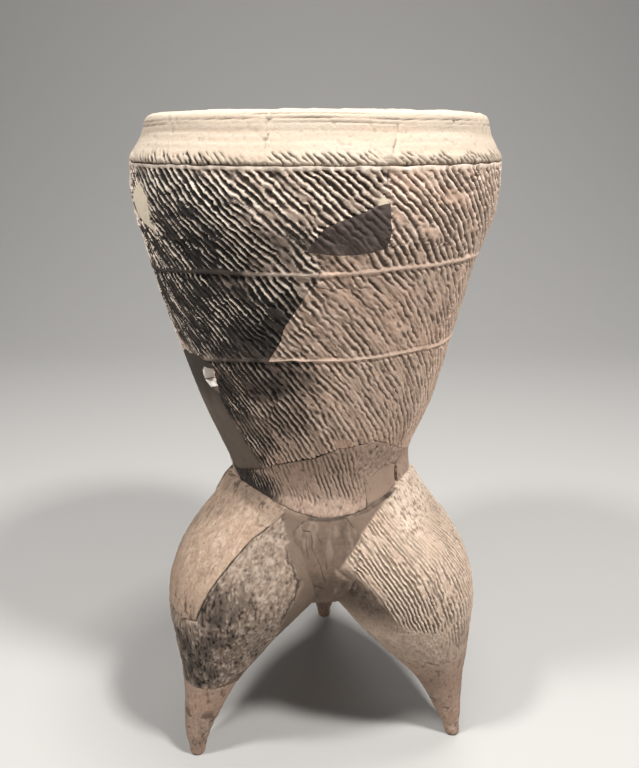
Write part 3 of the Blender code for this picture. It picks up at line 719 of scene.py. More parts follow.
def draw_skin(name, skin, loops, relief, finish, mesh_step, seams=None, grow=EDGE_GROW, wobble=0.5,
              cracks=(), body="vessel"):
    """One piece of wall: a fine outer skin with its relief, a plain inner skin, and edges between them."""
    across, along, lean = mesh_step
    outline = Outline(loops, skin, EDGE_STEP)
    edge = outline.points
    if grow and not outline.weld:
        edge = np.concatenate([grown(edge[a:b], grow) for a, b in loop_spans(outline.runs)])
    place = skin.place(edge)
    edge = edge + wobble * np.stack([lumps(place, 9, 3) + 0.5 * lumps(place, 3, 4),
                                     lumps(place, 9, 5) + 0.5 * lumps(place, 3, 6)], 1)
    breaks = np.setdiff1d(np.arange(len(edge)), outline.sides())

    lines = crack_lines(skin, cracks)
    filling = lattice(outline.coarse, across, along, lean)
    filling = filling[inside(filling, outline.coarse, across * 0.7 + wobble)]
    flat, faces, where = cut_pattern(edge, outline.runs, with_cracks(filling, lines))
    base = skin.place(flat)
    push, masks = relief(skin, flat, base)
    open_up(skin, flat, base, where[breaks], lines, seams, push, masks)
    outer = base + normals_of(skin, flat) * push[:, None]

    coarse = lattice(outline.coarse, INNER_STEP, INNER_STEP, 0)
    coarse = coarse[inside(coarse, outline.coarse, INNER_STEP / 2)]
    inner_flat, inner_faces, inner_where = cut_pattern(edge, outline.runs, coarse)
    inner_faces = inner_faces[:, ::-1]
    inner = skin.place(inner_flat, 1.0)

    corners = [map_box(flat, *MAP_OUTER)[faces], map_box(inner_flat, *MAP_INNER)[inner_faces]]
    shut = np.arange(len(flat))
    inner_shut = np.arange(len(inner_flat))
    for one, other in outline.weld.items():
        shut[where[one]] = where[other]
        inner_shut[inner_where[one]] = inner_where[other]
    faces = shut[faces]
    inner_faces = inner_shut[inner_faces] + len(flat)
    to_inner = np.zeros(len(flat), int)
    to_inner[where] = inner_shut[inner_where] + len(flat)
    ends = open_edges(faces)
    walls = np.stack([ends[:, 1], ends[:, 0], to_inner[ends[:, 0]], to_inner[ends[:, 1]]], 1)
    (left, low), (right, high) = MAP_EDGES
    strip = np.linspace(left, right, len(ends) + 1)
    quads = [[(b, high), (a, high), (a, low), (b, low)] for a, b in zip(strip, strip[1:])]
    corners.append(np.array(quads))
    corners = np.concatenate([group.reshape(-1, 2) for group in corners])
    masks = carried_inside(masks, inner, where[breaks], inner_where[breaks])
    points = np.concatenate([outer, inner])
    return piece_object(name, points, [faces, inner_faces, walls], corners, masks, finish, body)


def draw_rings(name, rings, finish, masks, capped, body="vessel"):
    """A turned piece from rings of points, with capped ends or a section that closes on itself."""
    rows, columns = rings.shape[:2]
    number = np.arange(rows * columns).reshape(rows, columns)
    lower = number[:-1] if capped else number
    upper = number[1:] if capped else np.roll(number, -1, 0)
    sides = np.stack([lower, np.roll(lower, -1, 1), np.roll(upper, -1, 1), upper], -1).reshape(-1, 4)
    row, column = np.divmod(np.arange(len(sides)), columns)
    square = np.array([(0, 0), (1, 0), (1, 1), (0, 1)])
    corners = (np.stack([column, row], 1)[:, None] + square) / [columns, rows]
    faces, corners = [sides], [corners.reshape(-1, 2)]
    if capped:
        faces += [number[:1, ::-1], number[-1:]]
        corners.append(np.full((2 * columns, 2), 0.5))
    return piece_object(name, rings.reshape(-1, 3), faces, np.concatenate(corners), masks, finish, body)


# Relief: how far each surface stands out, and what is painted on it

def hand_built(base, seed=40):
    """Unevenness left by hands, from broad dents down to grit."""
    return (0.55 * lumps(base, 55, seed) + 0.25 * lumps(base, 17, seed + 1)
            + 0.12 * lumps(base, 6, seed + 2) + 0.07 * lumps(base, 2.2, seed + 3))


def cord_marks(base, run, along, seed, broken, width, glint=0.0):
    """Paddled cord marks: 1 in the grooves and 0 between, and 1 on the crests of the ridges.

    Strokes break off and thin out, and the beatings overlap in patches. Glint leaves fewer, thinner crests.
    """
    warp = 0.30 * lumps(base, 26, seed) + 0.22 * lumps(base, 9, seed + 1)
    warp += 0.17 * lumps(base, 3.2, seed + 2) + 0.12 * lumps(base, 1.5, seed + 3)
    grooves = np.zeros(len(base))
    crests = np.zeros(len(base))
    shares = np.zeros(len(base))
    for k, (tilt, shift) in enumerate(BEATINGS):
        cycle = run + tilt * along + shift + warp
        number = np.round(cycle)
        stroke = lumps(np.stack([3.7 * number, along / 13, 5.3 * number], 1), 1, seed + 20 + k)
        nicks = lumps(np.stack([5.9 * number, along / 3.2, 2.3 * number], 1), 1, seed + 30 + k)
        strength = eased(1.5 * broken - 1.35, 1.5 * broken - 0.5, stroke + 0.45 * nicks)
        half = width * (1 + 0.45 * nicks + 0.3 * stroke)
        share = np.exp(16 * lumps(base, 30, seed + 7 + k))
        off = cycle - number
        grooves += share * strength * eased(half, 0.2 * half, np.abs(off))
        # Crests are painted pale later: worn ridge tops, and partly painted highlights
        crest = eased(0.26 - 0.06 * glint, 0.06 - 0.02 * glint, 0.5 - np.abs(off) + 0.06 * nicks)
        crest *= eased(-0.75 + 0.55 * glint, 0.1 + 0.15 * glint, (0.5 - 0.3 * glint) * nicks + stroke)
        crests += share * crest * (0.3 + 0.7 * strength)
        shares += share
    return grooves / shares, crests / shares


def drawn_grain(run, along, seed):
    """Fine grain of the clay, drawn out along the marks."""
    flat = np.zeros(len(run))
    return (0.6 * lumps(np.stack([2.2 * run, along / 7, flat], 1), 1, seed)
            + 0.5 * lumps(np.stack([3.6 * run, along / 3, flat], 1), 1, seed + 1))


def blotches(turn, height, base, spots, seed):
    """Patches of soot with ragged edges."""
    ragged = 0.13 * lumps(base, 22, seed) + 0.13 * lumps(base, 7, seed + 1)
    ragged += 0.12 * lumps(base, 2.4, seed + 2)
    mask = np.zeros(len(base))
    for middle, level, width, rise, strength in spots:
        far = np.hypot(wrapped(turn - middle) / width, (height - level) / rise)
        mask = np.maximum(mask, strength * eased(1.35, 0.25, far + ragged))
    return mask


def seams_at(spots):
    """How far open a seam stands, from a list of the places where it does."""

    def gape(skin, flat, base):
        turn = skin.turn(flat)
        wide = np.zeros(len(flat))
        for middle, level, width, rise, strength in spots:
            far = np.hypot(wrapped(turn - middle) / width, (flat[:, 1] - level) / rise)
            wide = np.maximum(wide, strength * eased(1.15, 0.75, far))
        return wide

    return gape


def rim_seams(skin, flat, base):
    """The rim's breaks stand open in places. The groove round the shoulder is cut deep."""
    return np.maximum(seams_at(BOWL_SEAMS)(skin, flat, base), eased(472.5, 471, flat[:, 1]))


def bowl_run(turn, height):
    """Cord marks passed at a place on the bowl: slanting at the shoulder, nearly upright at the waist."""
    return BOWL_CORDS * turn / 360 + smooth(CORD_CLIMB, height)


def bowl_along(height):
    """Distance along the bowl's marks at a height, from about the upper string line."""
    return 1.3 * (height - 400)


def main_furrows(run, base):
    """Slow rise and fall of the wall across the marks."""
    sunk = 0.5 + 0.5 * np.cos(2 * math.pi * (run / CORDS_TO_FURROW + 0.12 * lumps(base, 30, 58)))
    return FURROW_RISE - (FURROW_RISE + FURROW_DEPTH) * sunk


def wall_relief(worn=0.0, soot=1.0):
    """Relief of a cord-marked sherd: deep marks at the left and top, worn ones lower at the right."""

    def relief(skin, flat, base):
        turn, height = wrapped(skin.turn(flat)), flat[:, 1]
        run, along = bowl_run(turn, height), bowl_along(height)
        strong = 0.75 * eased(35, -25, turn) + 0.7 * eased(398, 446, height) + 0.3 * lumps(base, 34, 57)
        # Stronger marks at the upper right: deeper, with crests painted paler as painted highlights
        strong += 0.5 * eased(24, 42, turn) * eased(392, 420, height)
        strong = np.where(np.abs(turn) > 90, 0.5 + 0.4 * lumps(base, 34, 57), strong)
        strong = np.clip(strong - worn - 0.2 * eased(360, 330, height), 0, 1)
        width = 0.27 + 0.15 * strong - 0.04 * eased(420, 446, height) - 0.05 * eased(350, 330, height)
        dark = blotches(turn, height, np.stack([2.5 * run, 0.5 * along, 0 * run], 1), BOWL_SOOT, 70) * soot
        glint = eased(0.3, 0.8, dark) * (1 - 0.8 * eased(424, 454, height)) * eased(-16, -38, turn)
        mark, crest = cord_marks(base, run, along, 50, 0.45 - 0.28 * strong, width, glint)
        mark *= 1 - 0.55 * worn
        thin, _ = cord_marks(base, 1.8 * run, along, 90, 0.5, 0.3)
        thin *= 1 - 0.7 * strong
        grain = drawn_grain(run, along, 59)
        band = eased(467.0, 468.4, height + 0.9 * lumps(base, 6, 61) + 0.5 * lumps(base, 2.5, 63))
        cover = 1 - band
        push = hand_built(base)
        pale = 0.9 * band
        for k, line in enumerate(STRING_LINES):
            off = height - smooth(line, turn) + 0.5 * lumps(base, 18, 62 + k)
            off += 0.25 * lumps(base, 5, 64 + k)
            cover *= 1 - hump(off, 3.0)
            push += 0.38 * hump(off, 1.4) - 0.8 * hump(off + 2.1, 1.4) - 0.4 * hump(off - 2.0, 1.1)
            pale = np.maximum(pale, 0.35 * hump(off, 1.5))
        push += 0.55 * cover * eased(258, 268, height) * main_furrows(run, base)
        push -= cover * ((1.3 + 0.9 * strong) * mark + 0.5 * thin - 0.3 * crest - 0.3 * grain)
        deep = mark * (0.7 + 0.3 * strong)
        groove = cover * np.maximum(deep, np.maximum(0.55 * thin, 0.4 * eased(0.2, 0.8, -grain)))
        bare = 1.6 * eased(412, 444, height) - 0.4 - 0.4 * eased(352, 336, height)
        # Where crests show pale through the soot: clay worn through, and painted glints
        worn_through_and_glints = eased(-0.6, 0.3, lumps(base, 16, 73) + bare + 0.8 * glint)
        sooted = 0.64 * eased(0.1, 0.7, dark) * (1 - worn_through_and_glints)
        # Crests painted pale: worn ridge tops and painted highlights, fewer where soot covers them
        crest = np.clip(1.9 * crest * cover, 0, 1) * (1 - sooted)
        pale = np.maximum(pale * (1 - dark), crest * (0.55 + 0.45 * strong))
        return push, {"groove": groove, "soot": dark, "pale": pale}

    return relief


def rim_relief(skin, flat, base):
    """Wiped rim: fine level streaks, grooves under the lip, and a strip of cord marks at its foot."""
    turn, height = wrapped(skin.turn(flat)), flat[:, 1]
    streaks = lumps(base * [0.03, 0.03, 1], 1.6, 80) + 0.6 * lumps(base * [0.05, 0.05, 1], 3.4, 81)
    push = 0.5 * hand_built(base) + 0.14 * streaks
    lines = np.zeros(len(flat))
    for level, depth in ((499.3, 0.5), (496.8, 0.75), (494.2, 0.5), (489.5, 0.2), (484, 0.16)):
        faint = np.clip(0.65 + 0.6 * lumps(base * [1, 1, 0.1], 26, int(level)), 0, 1)
        line = depth * faint * hump(height - level + 0.5 * lumps(base * [1, 1, 0.1], 45, 83), 0.9)
        push -= line
        lines = np.maximum(lines, line)
    mark, _ = cord_marks(base, 1.3 * bowl_run(turn, height), bowl_along(height), 50, 0.3, 0.27)
    cover = eased(478.5, 475.5, height + 3.2 * lumps(base, 9, 84) + 1.6 * lumps(base, 3, 85))
    cover = cover * (0.6 + 0.4 * eased(-0.4, 0.2, lumps(base, 12, 86)))
    push += 0.25 * eased(480, 475, height) - 1.4 * cover * mark + 0.3 * cover * lumps(base, 2.4, 92)
    shoulder = hump(height - 470.2 + 0.3 * lumps(base, 7, 82), 1.6) * (0.75 + 0.25 * lumps(base, 11, 89))
    push -= 1.2 * shoulder
    crumbs = lumps(base, 2.2, 90)
    mended = hump(turn - MENDED_BREAK + 1.2 * lumps(base, 5, 91), 3.2)
    mended *= eased(479, 485, height)
    mended *= eased(500, 496, height)
    pit = hump(np.hypot((turn - LIP_PIT[0]) * 2.1, height - LIP_PIT[1]), 1.8)
    pits = eased(0.5, 0.8, lumps(base, 2.4, 87) + 0.35 * lumps(base, 10, 88))
    push += 0.4 * mended * crumbs - 0.25 * pits - 0.9 * pit
    groove = np.maximum(np.clip(1.3 * cover * mark, 0, 1), 0.9 * shoulder)
    groove = np.maximum(groove, np.maximum(1.3 * lines, 0.3 * pits))
    groove = np.maximum(groove, np.maximum(0.85 * mended * eased(0.0, 0.6, -crumbs), pit))
    soot = 0.8 * np.maximum(cover * mark, shoulder) * eased(-8, -26, turn) * eased(-80, -64, turn)
    pale = np.maximum(0.15 + 0.6 * eased(-0.6, 0.6, streaks), 0.9 * mended)
    return push, {"groove": groove, "pale": pale, "soot": soot}


def plaster_relief(skin, flat, base):
    """Filling plaster, smoothed with a blade and lightly pitted."""
    pits = eased(0.5, 0.85, lumps(base, 2.2, 95) + 0.3 * lumps(base, 9, 96))
    turn, height = wrapped(skin.turn(flat)), flat[:, 1]
    push = 0.45 * hand_built(base) - 0.25 * pits + 0.12 * lumps(base * [1, 1, 0.3], 5, 97)
    push -= 0.1 + 0.35 * eased(255, 270, height)
    # A white disc painted over the hole through the fill: painted light, as if seen through the hole
    hole_light = eased(1.12, 1.0, np.hypot((turn - FILL_HOLE[0]) / 3.6, (height - FILL_HOLE[1]) / 7.6))
    # Darker over the fill's upper part, carried by the soot mask: painted shadow
    stain = 0.8 * eased(292, 316, height + 5 * lumps(base, 12, 98)) * eased(356, 350, height)
    return push, {"groove": 0.5 * pits, "pale": hole_light, "soot": stain}


def pitted(base, seed):
    """Worn, pitted clay: 1 in the pits, which are drawn out downwards a little."""
    drawn = base * [1, 1, 0.6]
    return eased(0.1, 0.75, lumps(drawn, 2.4, seed) + 0.5 * lumps(drawn, 6, seed + 1))


def rough_clay(base, seed):
    """Coarse, weathered clay: granular, with marks drawn out downwards."""
    return (0.2 * lumps(base * [1, 1, 0.25], 3.6, seed) + 0.35 * lumps(base * [1, 1, 0.3], 1.9, seed + 1)
            + 0.65 * lumps(base * [1, 1, 0.45], 1.2, seed + 2))


def waist_relief(skin, flat, base):
    """Waist band: upright cord marks, with smears where the clay was luted on."""
    turn, height = wrapped(skin.turn(flat)), flat[:, 1]
    mark, crest = cord_marks(base, 1.1 * bowl_run(turn, height), height - 230, 50, 0.38, 0.27)
    fade = eased(-0.6, 0.2, lumps(base, 20, 101) + 0.5 * lumps(base, 7, 102) + 0.25)
    low_edge = 225 + 5 * lumps(base, 16, 103) + 0.12 * np.abs(turn + 5)
    cover = (0.25 + 0.75 * fade) * eased(low_edge - 4, low_edge + 3, height)
    cover *= eased(-58, -42, turn) * eased(30, 15, turn + 4 * lumps(base, 9, 104))
    cover = np.where(np.abs(turn) > 90, 0.7 * fade * eased(218, 230, height), cover)
    rough = rough_clay(base, 105) * (1 - 0.5 * cover)
    push = hand_built(base) - 1.2 * cover * mark + 0.8 * rough
    groove = np.maximum(0.75 * cover * mark, 0.65 * eased(0.05, 0.65, -rough))
    pale = np.maximum(0.6 * cover * crest, 0.5 * eased(0.1, 0.6, rough))
    return push, {"groove": groove, "soot": blotches(turn, height, base, BOWL_SOOT, 70), "pale": pale}


def left_leg_relief(skin, flat, base):
    """Left leg: granular clay with faint upright marks, sooty below, and the smooth strip over its seam."""
    turn, height = skin.turn(flat), flat[:, 1]
    over_seam = turn - smooth(STRIP_EDGE, height) + 2.5 * lumps(base, 11, 111) + 1.2 * lumps(base, 4, 112)
    strip = eased(-1.2, 1.2, over_seam) * eased(178, 150, turn)
    rough = rough_clay(base, 113) * (1 - 0.8 * strip)
    step = hump(over_seam + 1.4, 1.6)
    step *= eased(128, 140, height) * eased(206, 190, height)
    push = hand_built(base) + 1.0 * rough + 0.7 * strip - 0.9 * step
    ledge = height - smooth([(-180, 100), *LEFT_LEDGE, (180, 98)], turn)
    push += 0.6 * eased(0.6, -1.0, ledge) * eased(-22, -6, ledge)
    foot_clay = eased(1.0, -1.0, height - smooth(FOOT_CLAY_EDGE, turn) + 1.5 * lumps(base, 6, 118))
    smear = np.maximum(strip, foot_clay)
    dark = blotches(turn, height, base, LEFT_LEG_SOOT, 116) * (1 - 0.8 * smear)
    dark = dark * np.clip(0.58 + 0.25 * lumps(base * [1, 1, 0.35], 4, 117) - 0.15 * rough, 0, 1)
    groove = np.maximum(0.7 * eased(0.0, 0.7, -rough), 0.8 * step)
    pale = 0.8 * eased(-0.1, 0.5, rough) * (1 - 0.6 * strip) * (1 - eased(0.1, 0.6, dark))
    return push, {"groove": groove, "soot": dark, "pale": pale, "smear": smear}


def leg_sherd_relief(skin, flat, base):
    """Large mended sherd of the left leg: pale, scraped downwards and finely pitted."""
    turn, height = skin.turn(flat), flat[:, 1]
    rough = rough_clay(base, 121)
    scraped = lumps(base * [1, 1, 0.13], 3.2, 124)
    scoured = 0.35 + 0.65 * eased(-0.2, 0.6, lumps(base, 25, 125) + 0.5 * eased(-10, -60, turn))
    chip = eased(1.2, 0.7, np.hypot((turn - 26) / 6, (height - 152) / 12) + 0.35 * lumps(base, 4, 126))
    push = hand_built(base) + 0.75 * scoured * rough + 0.3 * scraped - 0.7 * chip
    groove = scoured * eased(0.0, 0.55, -rough - 0.5 * scraped) * (1 - chip)
    pale = np.maximum(0.8 * eased(-0.1, 0.6, rough + 0.6 * scraped), 0.9 * chip)
    # Above that edge the sherd is painted brown: painted shadow of the bowl
    smear = 0.6 * eased(-2, 3, height - smooth(LEG_SHERD_SHADOW_EDGE, turn))
    worn = eased(196, 150, height + 0.5 * turn + 8 * lumps(base, 18, 127))
    smear = np.maximum(smear, 0.3 * worn)
    return push, {"groove": groove, "pale": pale * (1 - 0.5 * worn), "smear": smear}


def marked_leg_relief(marks_edge, soot_spots, far_side):
    """Leg with cord marks running down it above a ragged edge, smooth clay below and in the seams.

    On the inner side the brown of that clay is painted shadow of the bowl.
    """

    def relief(skin, flat, base):
        turn, height = skin.turn(flat), flat[:, 1]
        run = LEG_CORDS / 360 * (turn + smooth(LEG_DRIFT, turn) * smooth(LEG_DROP, height))
        mark, crest = cord_marks(base, run, height - 170, 130, 0.3, 0.38)
        grain = drawn_grain(run, height - 170, 137)
        level = eased(190, 176, height)
        ragged = (3.5 * lumps(base, 10, 131) + 3 * lumps(base, 4, 132)) * (0.2 + 0.8 * level)
        ragged += 7 * level * lumps(np.stack([3.1 * np.round(run), 0 * run, 0 * run], 1), 1, 138)
        edge = turn - smooth(marks_edge, height)
        cover = eased(-1.5 - 4 * level, 2 + 5 * level, edge + ragged)
        cover *= eased(far_side + 6, far_side - 6, turn + ragged) * eased(88, 104, height + ragged)
        cover *= 0.45 + 0.55 * eased(-0.7, 0.1, lumps(base, 24, 133) + 0.3 * lumps(base, 8, 134))
        top = eased(186, 206, height - 0.25 * (turn + 20)) * eased(-44, -24, turn)
        low = eased(128, 112, height) * eased(-60, -40, turn)
        cover *= 1 - 0.8 * np.maximum(top, 0.5 * low)
        bare = eased(2, -6, edge + ragged) * eased(190, 160, height)
        rough = rough_clay(base, 135) * np.clip(0.35 + 0.65 * top + 0.5 * low + 0.45 * bare, 0, 1)
        push = hand_built(base) - cover * (1.5 * mark - 0.3 * crest - 0.3 * grain) + 0.85 * rough
        dark = blotches(turn, height, base, soot_spots, 136)
        groove = np.maximum(cover * mark, (0.75 - 0.4 * bare) * eased(0.05, 0.5, -rough))
        # Pale grain at the leg's top: worn clay, and partly painted light from above
        pale = np.maximum(cover * crest, (0.9 * top + 0.3 * bare) * eased(-0.4, 0.35, rough))
        # Brown over the unmarked clay on the inner side is painted shadow; low down it is smooth clay by
        # the foot
        smear = eased(1.5 + 3 * level, -1.5 - 3 * level, edge + ragged) * eased(10, 0, turn)
        smear = np.maximum(smear * eased(105, 150, height), 0.4 * eased(122, 100, height + 0.6 * ragged))
        smear = np.maximum(smear, 0.75 * eased(98, 78, height + 0.4 * ragged))
        return push, {"groove": groove, "soot": dark, "pale": pale, "smear": smear}

    return relief


def web_relief(skin, flat, base):
    """Crotch clay, dragged upwards by the fingers. The right leg's marked clay runs on over its margin."""
    drags = lumps(base * [1, 1, 0.12], 5.5, 141) + 0.6 * lumps(base * [1, 1, 0.2], 2.4, 142)
    pits = pitted(base, 143) * 0.5
    push = 0.8 * hand_built(base) + 0.5 * drags - 0.4 * pits + 0.4 * rough_clay(base, 145)
    right = eased(2, 16, base[:, 0]) * eased(196, 178, base[:, 2]) * (0.6 + 0.4 * lumps(base, 8, 144))
    soot = np.clip(0.3 * eased(145, 128, base[:, 2]) + 0.3 * right, 0, 1)
    groove = 0.75 * eased(0.0, 0.8, -drags) + 0.4 * pits
    pale = 0.5 * eased(0.3, 1.0, drags)
    leg = LegSkin("right")
    leg_relief = marked_leg_relief(RIGHT_MARKS_EDGE, RIGHT_LEG_SOOT, RIGHT_MARKS_END)
    leg_push, leg_masks = leg_relief(leg, leg.flatten(base), base)
    front = (base[:, 1] < -20) & (base[:, 0] > 0)
    over = front * (1 - leg_masks["smear"]) * eased(140, 152, base[:, 2])
    push += over * (leg_push - push)
    masks = {"groove": groove, "soot": soot, "pale": pale}
    for key in masks:
        masks[key] = masks[key] + over * (leg_masks[key] - masks[key])
    # The web is painted brown: smooth clay, and painted shadow of the bowl, darkest at the front
    masks["smear"] = (1 - over) * (1 - 0.12 * eased(0.3, 1.0, drags))
    masks["smear"] *= 0.45 + 0.55 * eased(5, -25, base[:, 1])
    return push, masks


def web_seams(skin, flat, base):
    """The web's upper end stands open under the waist. Its sides are pressed into the legs."""
    return 0.1 + 0.9 * eased(206, 212, base[:, 2])


def grate_relief(skin, flat, base):
    """Pierced disc: hand-flattened clay, pitted and stained."""
    pits = pitted(base, 151)
    rough = rough_clay(base, 153)
    stain = 0.55 + 0.35 * lumps(base, 26, 154)
    return hand_built(base, 152) * 0.8 - 0.4 * pits + 0.4 * rough, {"groove": 0.35 * pits, "smear": stain}


# Finishes

class Tone:
    """A value over a surface: a node's output, with arithmetic that adds Math nodes."""

    def __init__(self, paint, socket):
        self.paint, self.socket = paint, socket

    def maths(self, operation, first, second):
        return self.paint.node("ShaderNodeMath", {"operation": operation}, {0: first, 1: second})

    def __add__(self, other):
        return self.maths("ADD", self, other)

    def __sub__(self, other):
        return self.maths("SUBTRACT", self, other)

    def __rsub__(self, other):
        return self.maths("SUBTRACT", other, self)

    def __mul__(self, other):
        return self.maths("MULTIPLY", self, other)

    __radd__ = __add__
    __rmul__ = __mul__

    def step(self, low, high):
        """0 below low, 1 above high, and a soft step between."""
        values = {"Value": self, "From Min": low, "From Max": high}
        return self.paint.node("ShaderNodeMapRange", {"interpolation_type": "SMOOTHSTEP"}, values)


class Paint:
    """One material: a Principled surface whose tones are worked out by nodes."""

    def __init__(self, name):
        self.material = bpy.data.materials.new(name)
        self.material.use_nodes = True
        self.tree = self.material.node_tree
        self.shader = self.tree.nodes["Principled BSDF"]
        self.place = self.node("ShaderNodeTexCoord", output="Object")

    def join(self, socket, value):
        if isinstance(value, Tone):
            self.tree.links.new(value.socket, socket)
        elif isinstance(value, tuple) and len(value) == 3 and socket.type == "RGBA":
            socket.default_value = (*value, 1)
        else:
            socket.default_value = value

    def node(self, kind, settings=None, inputs=None, output=0):
        """Adds a node: its settings first, then the values or links of its sockets."""
        made = self.tree.nodes.new(kind)
        for key, value in (settings or {}).items():
            setattr(made, key, value)
        for key, value in (inputs or {}).items():
            self.join(made.inputs[key], value)
        return Tone(self, made.outputs[output])

    def mask(self, name):
        """A mask painted on the mesh."""
        return self.node("ShaderNodeAttribute", {"attribute_name": name}, output="Fac")

    def cloud(self, size, detail=3.0, rough=0.55, stretch=(1, 1, 1)):
        """Noise with patches about one size across, in millimetres."""
        place = self.node("ShaderNodeVectorMath", {"operation": "MULTIPLY"}, {0: self.place, 1: stretch})
        return self.node("ShaderNodeTexNoise", None, {
            "Vector": place, "Scale": 1 / (size * MM), "Detail": detail, "Roughness": rough})

    def blend(self, one, two, share):
        """Colour that goes from one to two by a share."""
        return self.node("ShaderNodeMix", {"data_type": "RGBA"}, {0: share, 6: one, 7: two}, output=2)

    def finish(self, colour, roughness, height, relief):
        """Feeds the shader: colour, roughness, and a bump this many millimetres deep."""
        self.join(self.shader.inputs["Base Color"], colour)
        self.join(self.shader.inputs["Roughness"], roughness)
        self.shader.inputs["Specular IOR Level"].default_value = 0.35
        values = {"Height": height, "Distance": relief * MM, "Strength": 1.0}
        self.join(self.shader.inputs["Normal"], self.node("ShaderNodeBump", None, values))
        return self.material


SOOT = (0.0085, 0.007, 0.0062)
# Brown of clay smears, dark enough to serve as painted shadow of the bowl
SMEAR_AND_SHADOW_CLAY = (0.15, 0.106, 0.078)
# White of the painted light at the hole through the lower left fill
HOLE_LIGHT_WHITE = (0.82, 0.79, 0.74)


def shade(colour, share):
    """A colour made darker or lighter by a share."""
    return tuple(share * part for part in colour)


def earthenware(name, body, warm, pale, groove_dirt_and_shade=0.75, dust_and_highlight=0.6, blotch=0.45, grain=0.3, smear_and_shadow_colour=SMEAR_AND_SHADOW_CLAY):
    """Low-fired clay: clouded body colour, smears of clay, dirty grooves, pale worn ridges, soot and grit.

    The smears also lay painted shadow, the grooves painted shade, and the pale crests painted highlights.
    """
    paint = Paint(name)
    broad = paint.cloud(42, 4)
    middle = paint.cloud(11, 4, 0.6)
    fine = paint.cloud(2.4, 3, 0.6)
    grit = paint.cloud(0.7, 2, 0.6)
    groove, dark, light, crack, smear = (paint.mask(key) for key in MASKS)
    colour = paint.blend(body, warm, broad.step(0.40, 0.66) * 0.8)
    colour = paint.blend(colour, shade(body, 0.62), middle.step(0.56, 0.78) * blotch)
    # Pale on worn crests, chips and mended edges; on the crests it is partly painted highlight
    colour = paint.blend(colour, pale, (light * dust_and_highlight + fine.step(0.5, 0.8) * 0.25) * (1 - groove))
    # Smears of clay, and painted shadow where the bowl shades the legs and web
    brown = paint.blend(smear_and_shadow_colour, shade(smear_and_shadow_colour, 1.2), broad.step(0.40, 0.66) * 0.8)
    colour = paint.blend(colour, brown, smear)
    colour = paint.blend(colour, shade(body, 0.42), fine.step(0.48, 0.26) * grain)
    # Grooves darkened: dirt in them, and painted shade in the recesses
    colour = paint.blend(colour, shade(body, 0.15), groove.step(0.08, 0.8) * groove_dirt_and_shade)
    # Soot: crests show through as glints, partly painted highlight, and grooves go black, partly painted
    # shade
    burnt = (dark * (0.45 + 0.6 * middle + 0.5 * fine)).step(0.04, 0.8)
    soot_with_glints = paint.blend(shade(SOOT, 1.2), pale, light.step(0.15, 0.75))
    colour = paint.blend(colour, soot_with_glints, burnt * 0.93)
    colour = paint.blend(colour, SOOT, burnt * groove.step(0.04, 0.5) * 0.96)
    colour = paint.blend(colour, shade(body, 0.08), crack.step(0.2, 0.9) * 0.9)
    colour = paint.blend(colour, shade(body, 0.35), grit.step(0.66, 0.82) * 0.4)
    roughness = 0.9 - 0.06 * burnt + 0.12 * (fine - 0.5)
    return paint.finish(colour, roughness, fine * 0.6 + grit * 0.45, 0.5)


def filling_plaster(name, body, stain):
    """Toned plaster: brushed colour over a smooth filling."""
    paint = Paint(name)
    brushed = paint.cloud(9, 5, 0.65, (1, 1, 0.35))
    broad = paint.cloud(28, 3)
    fine = paint.cloud(1.6, 3, 0.6)
    colour = paint.blend(body, stain, brushed.step(0.42, 0.7) * 0.6 + broad.step(0.5, 0.75) * 0.35)
    colour = paint.blend(colour, shade(body, 0.22), paint.mask("soot"))
    colour = paint.blend(colour, shade(body, 0.4), paint.mask("groove") * 0.6)
    colour = paint.blend(colour, shade(body, 0.15), paint.mask("crack") * 0.7)
    # White disc at the hole: painted light
    colour = paint.blend(colour, HOLE_LIGHT_WHITE, paint.mask("pale").step(0.5, 0.9))
    return paint.finish(colour, 0.86 + 0.1 * (fine - 0.5), fine, 0.25)


# Body, warm and pale colours of the leg clay, which the clay pressed into the seams shares
LEG_COLOURS = ((0.475, 0.358, 0.275), (0.505, 0.368, 0.275), (0.90, 0.77, 0.633))

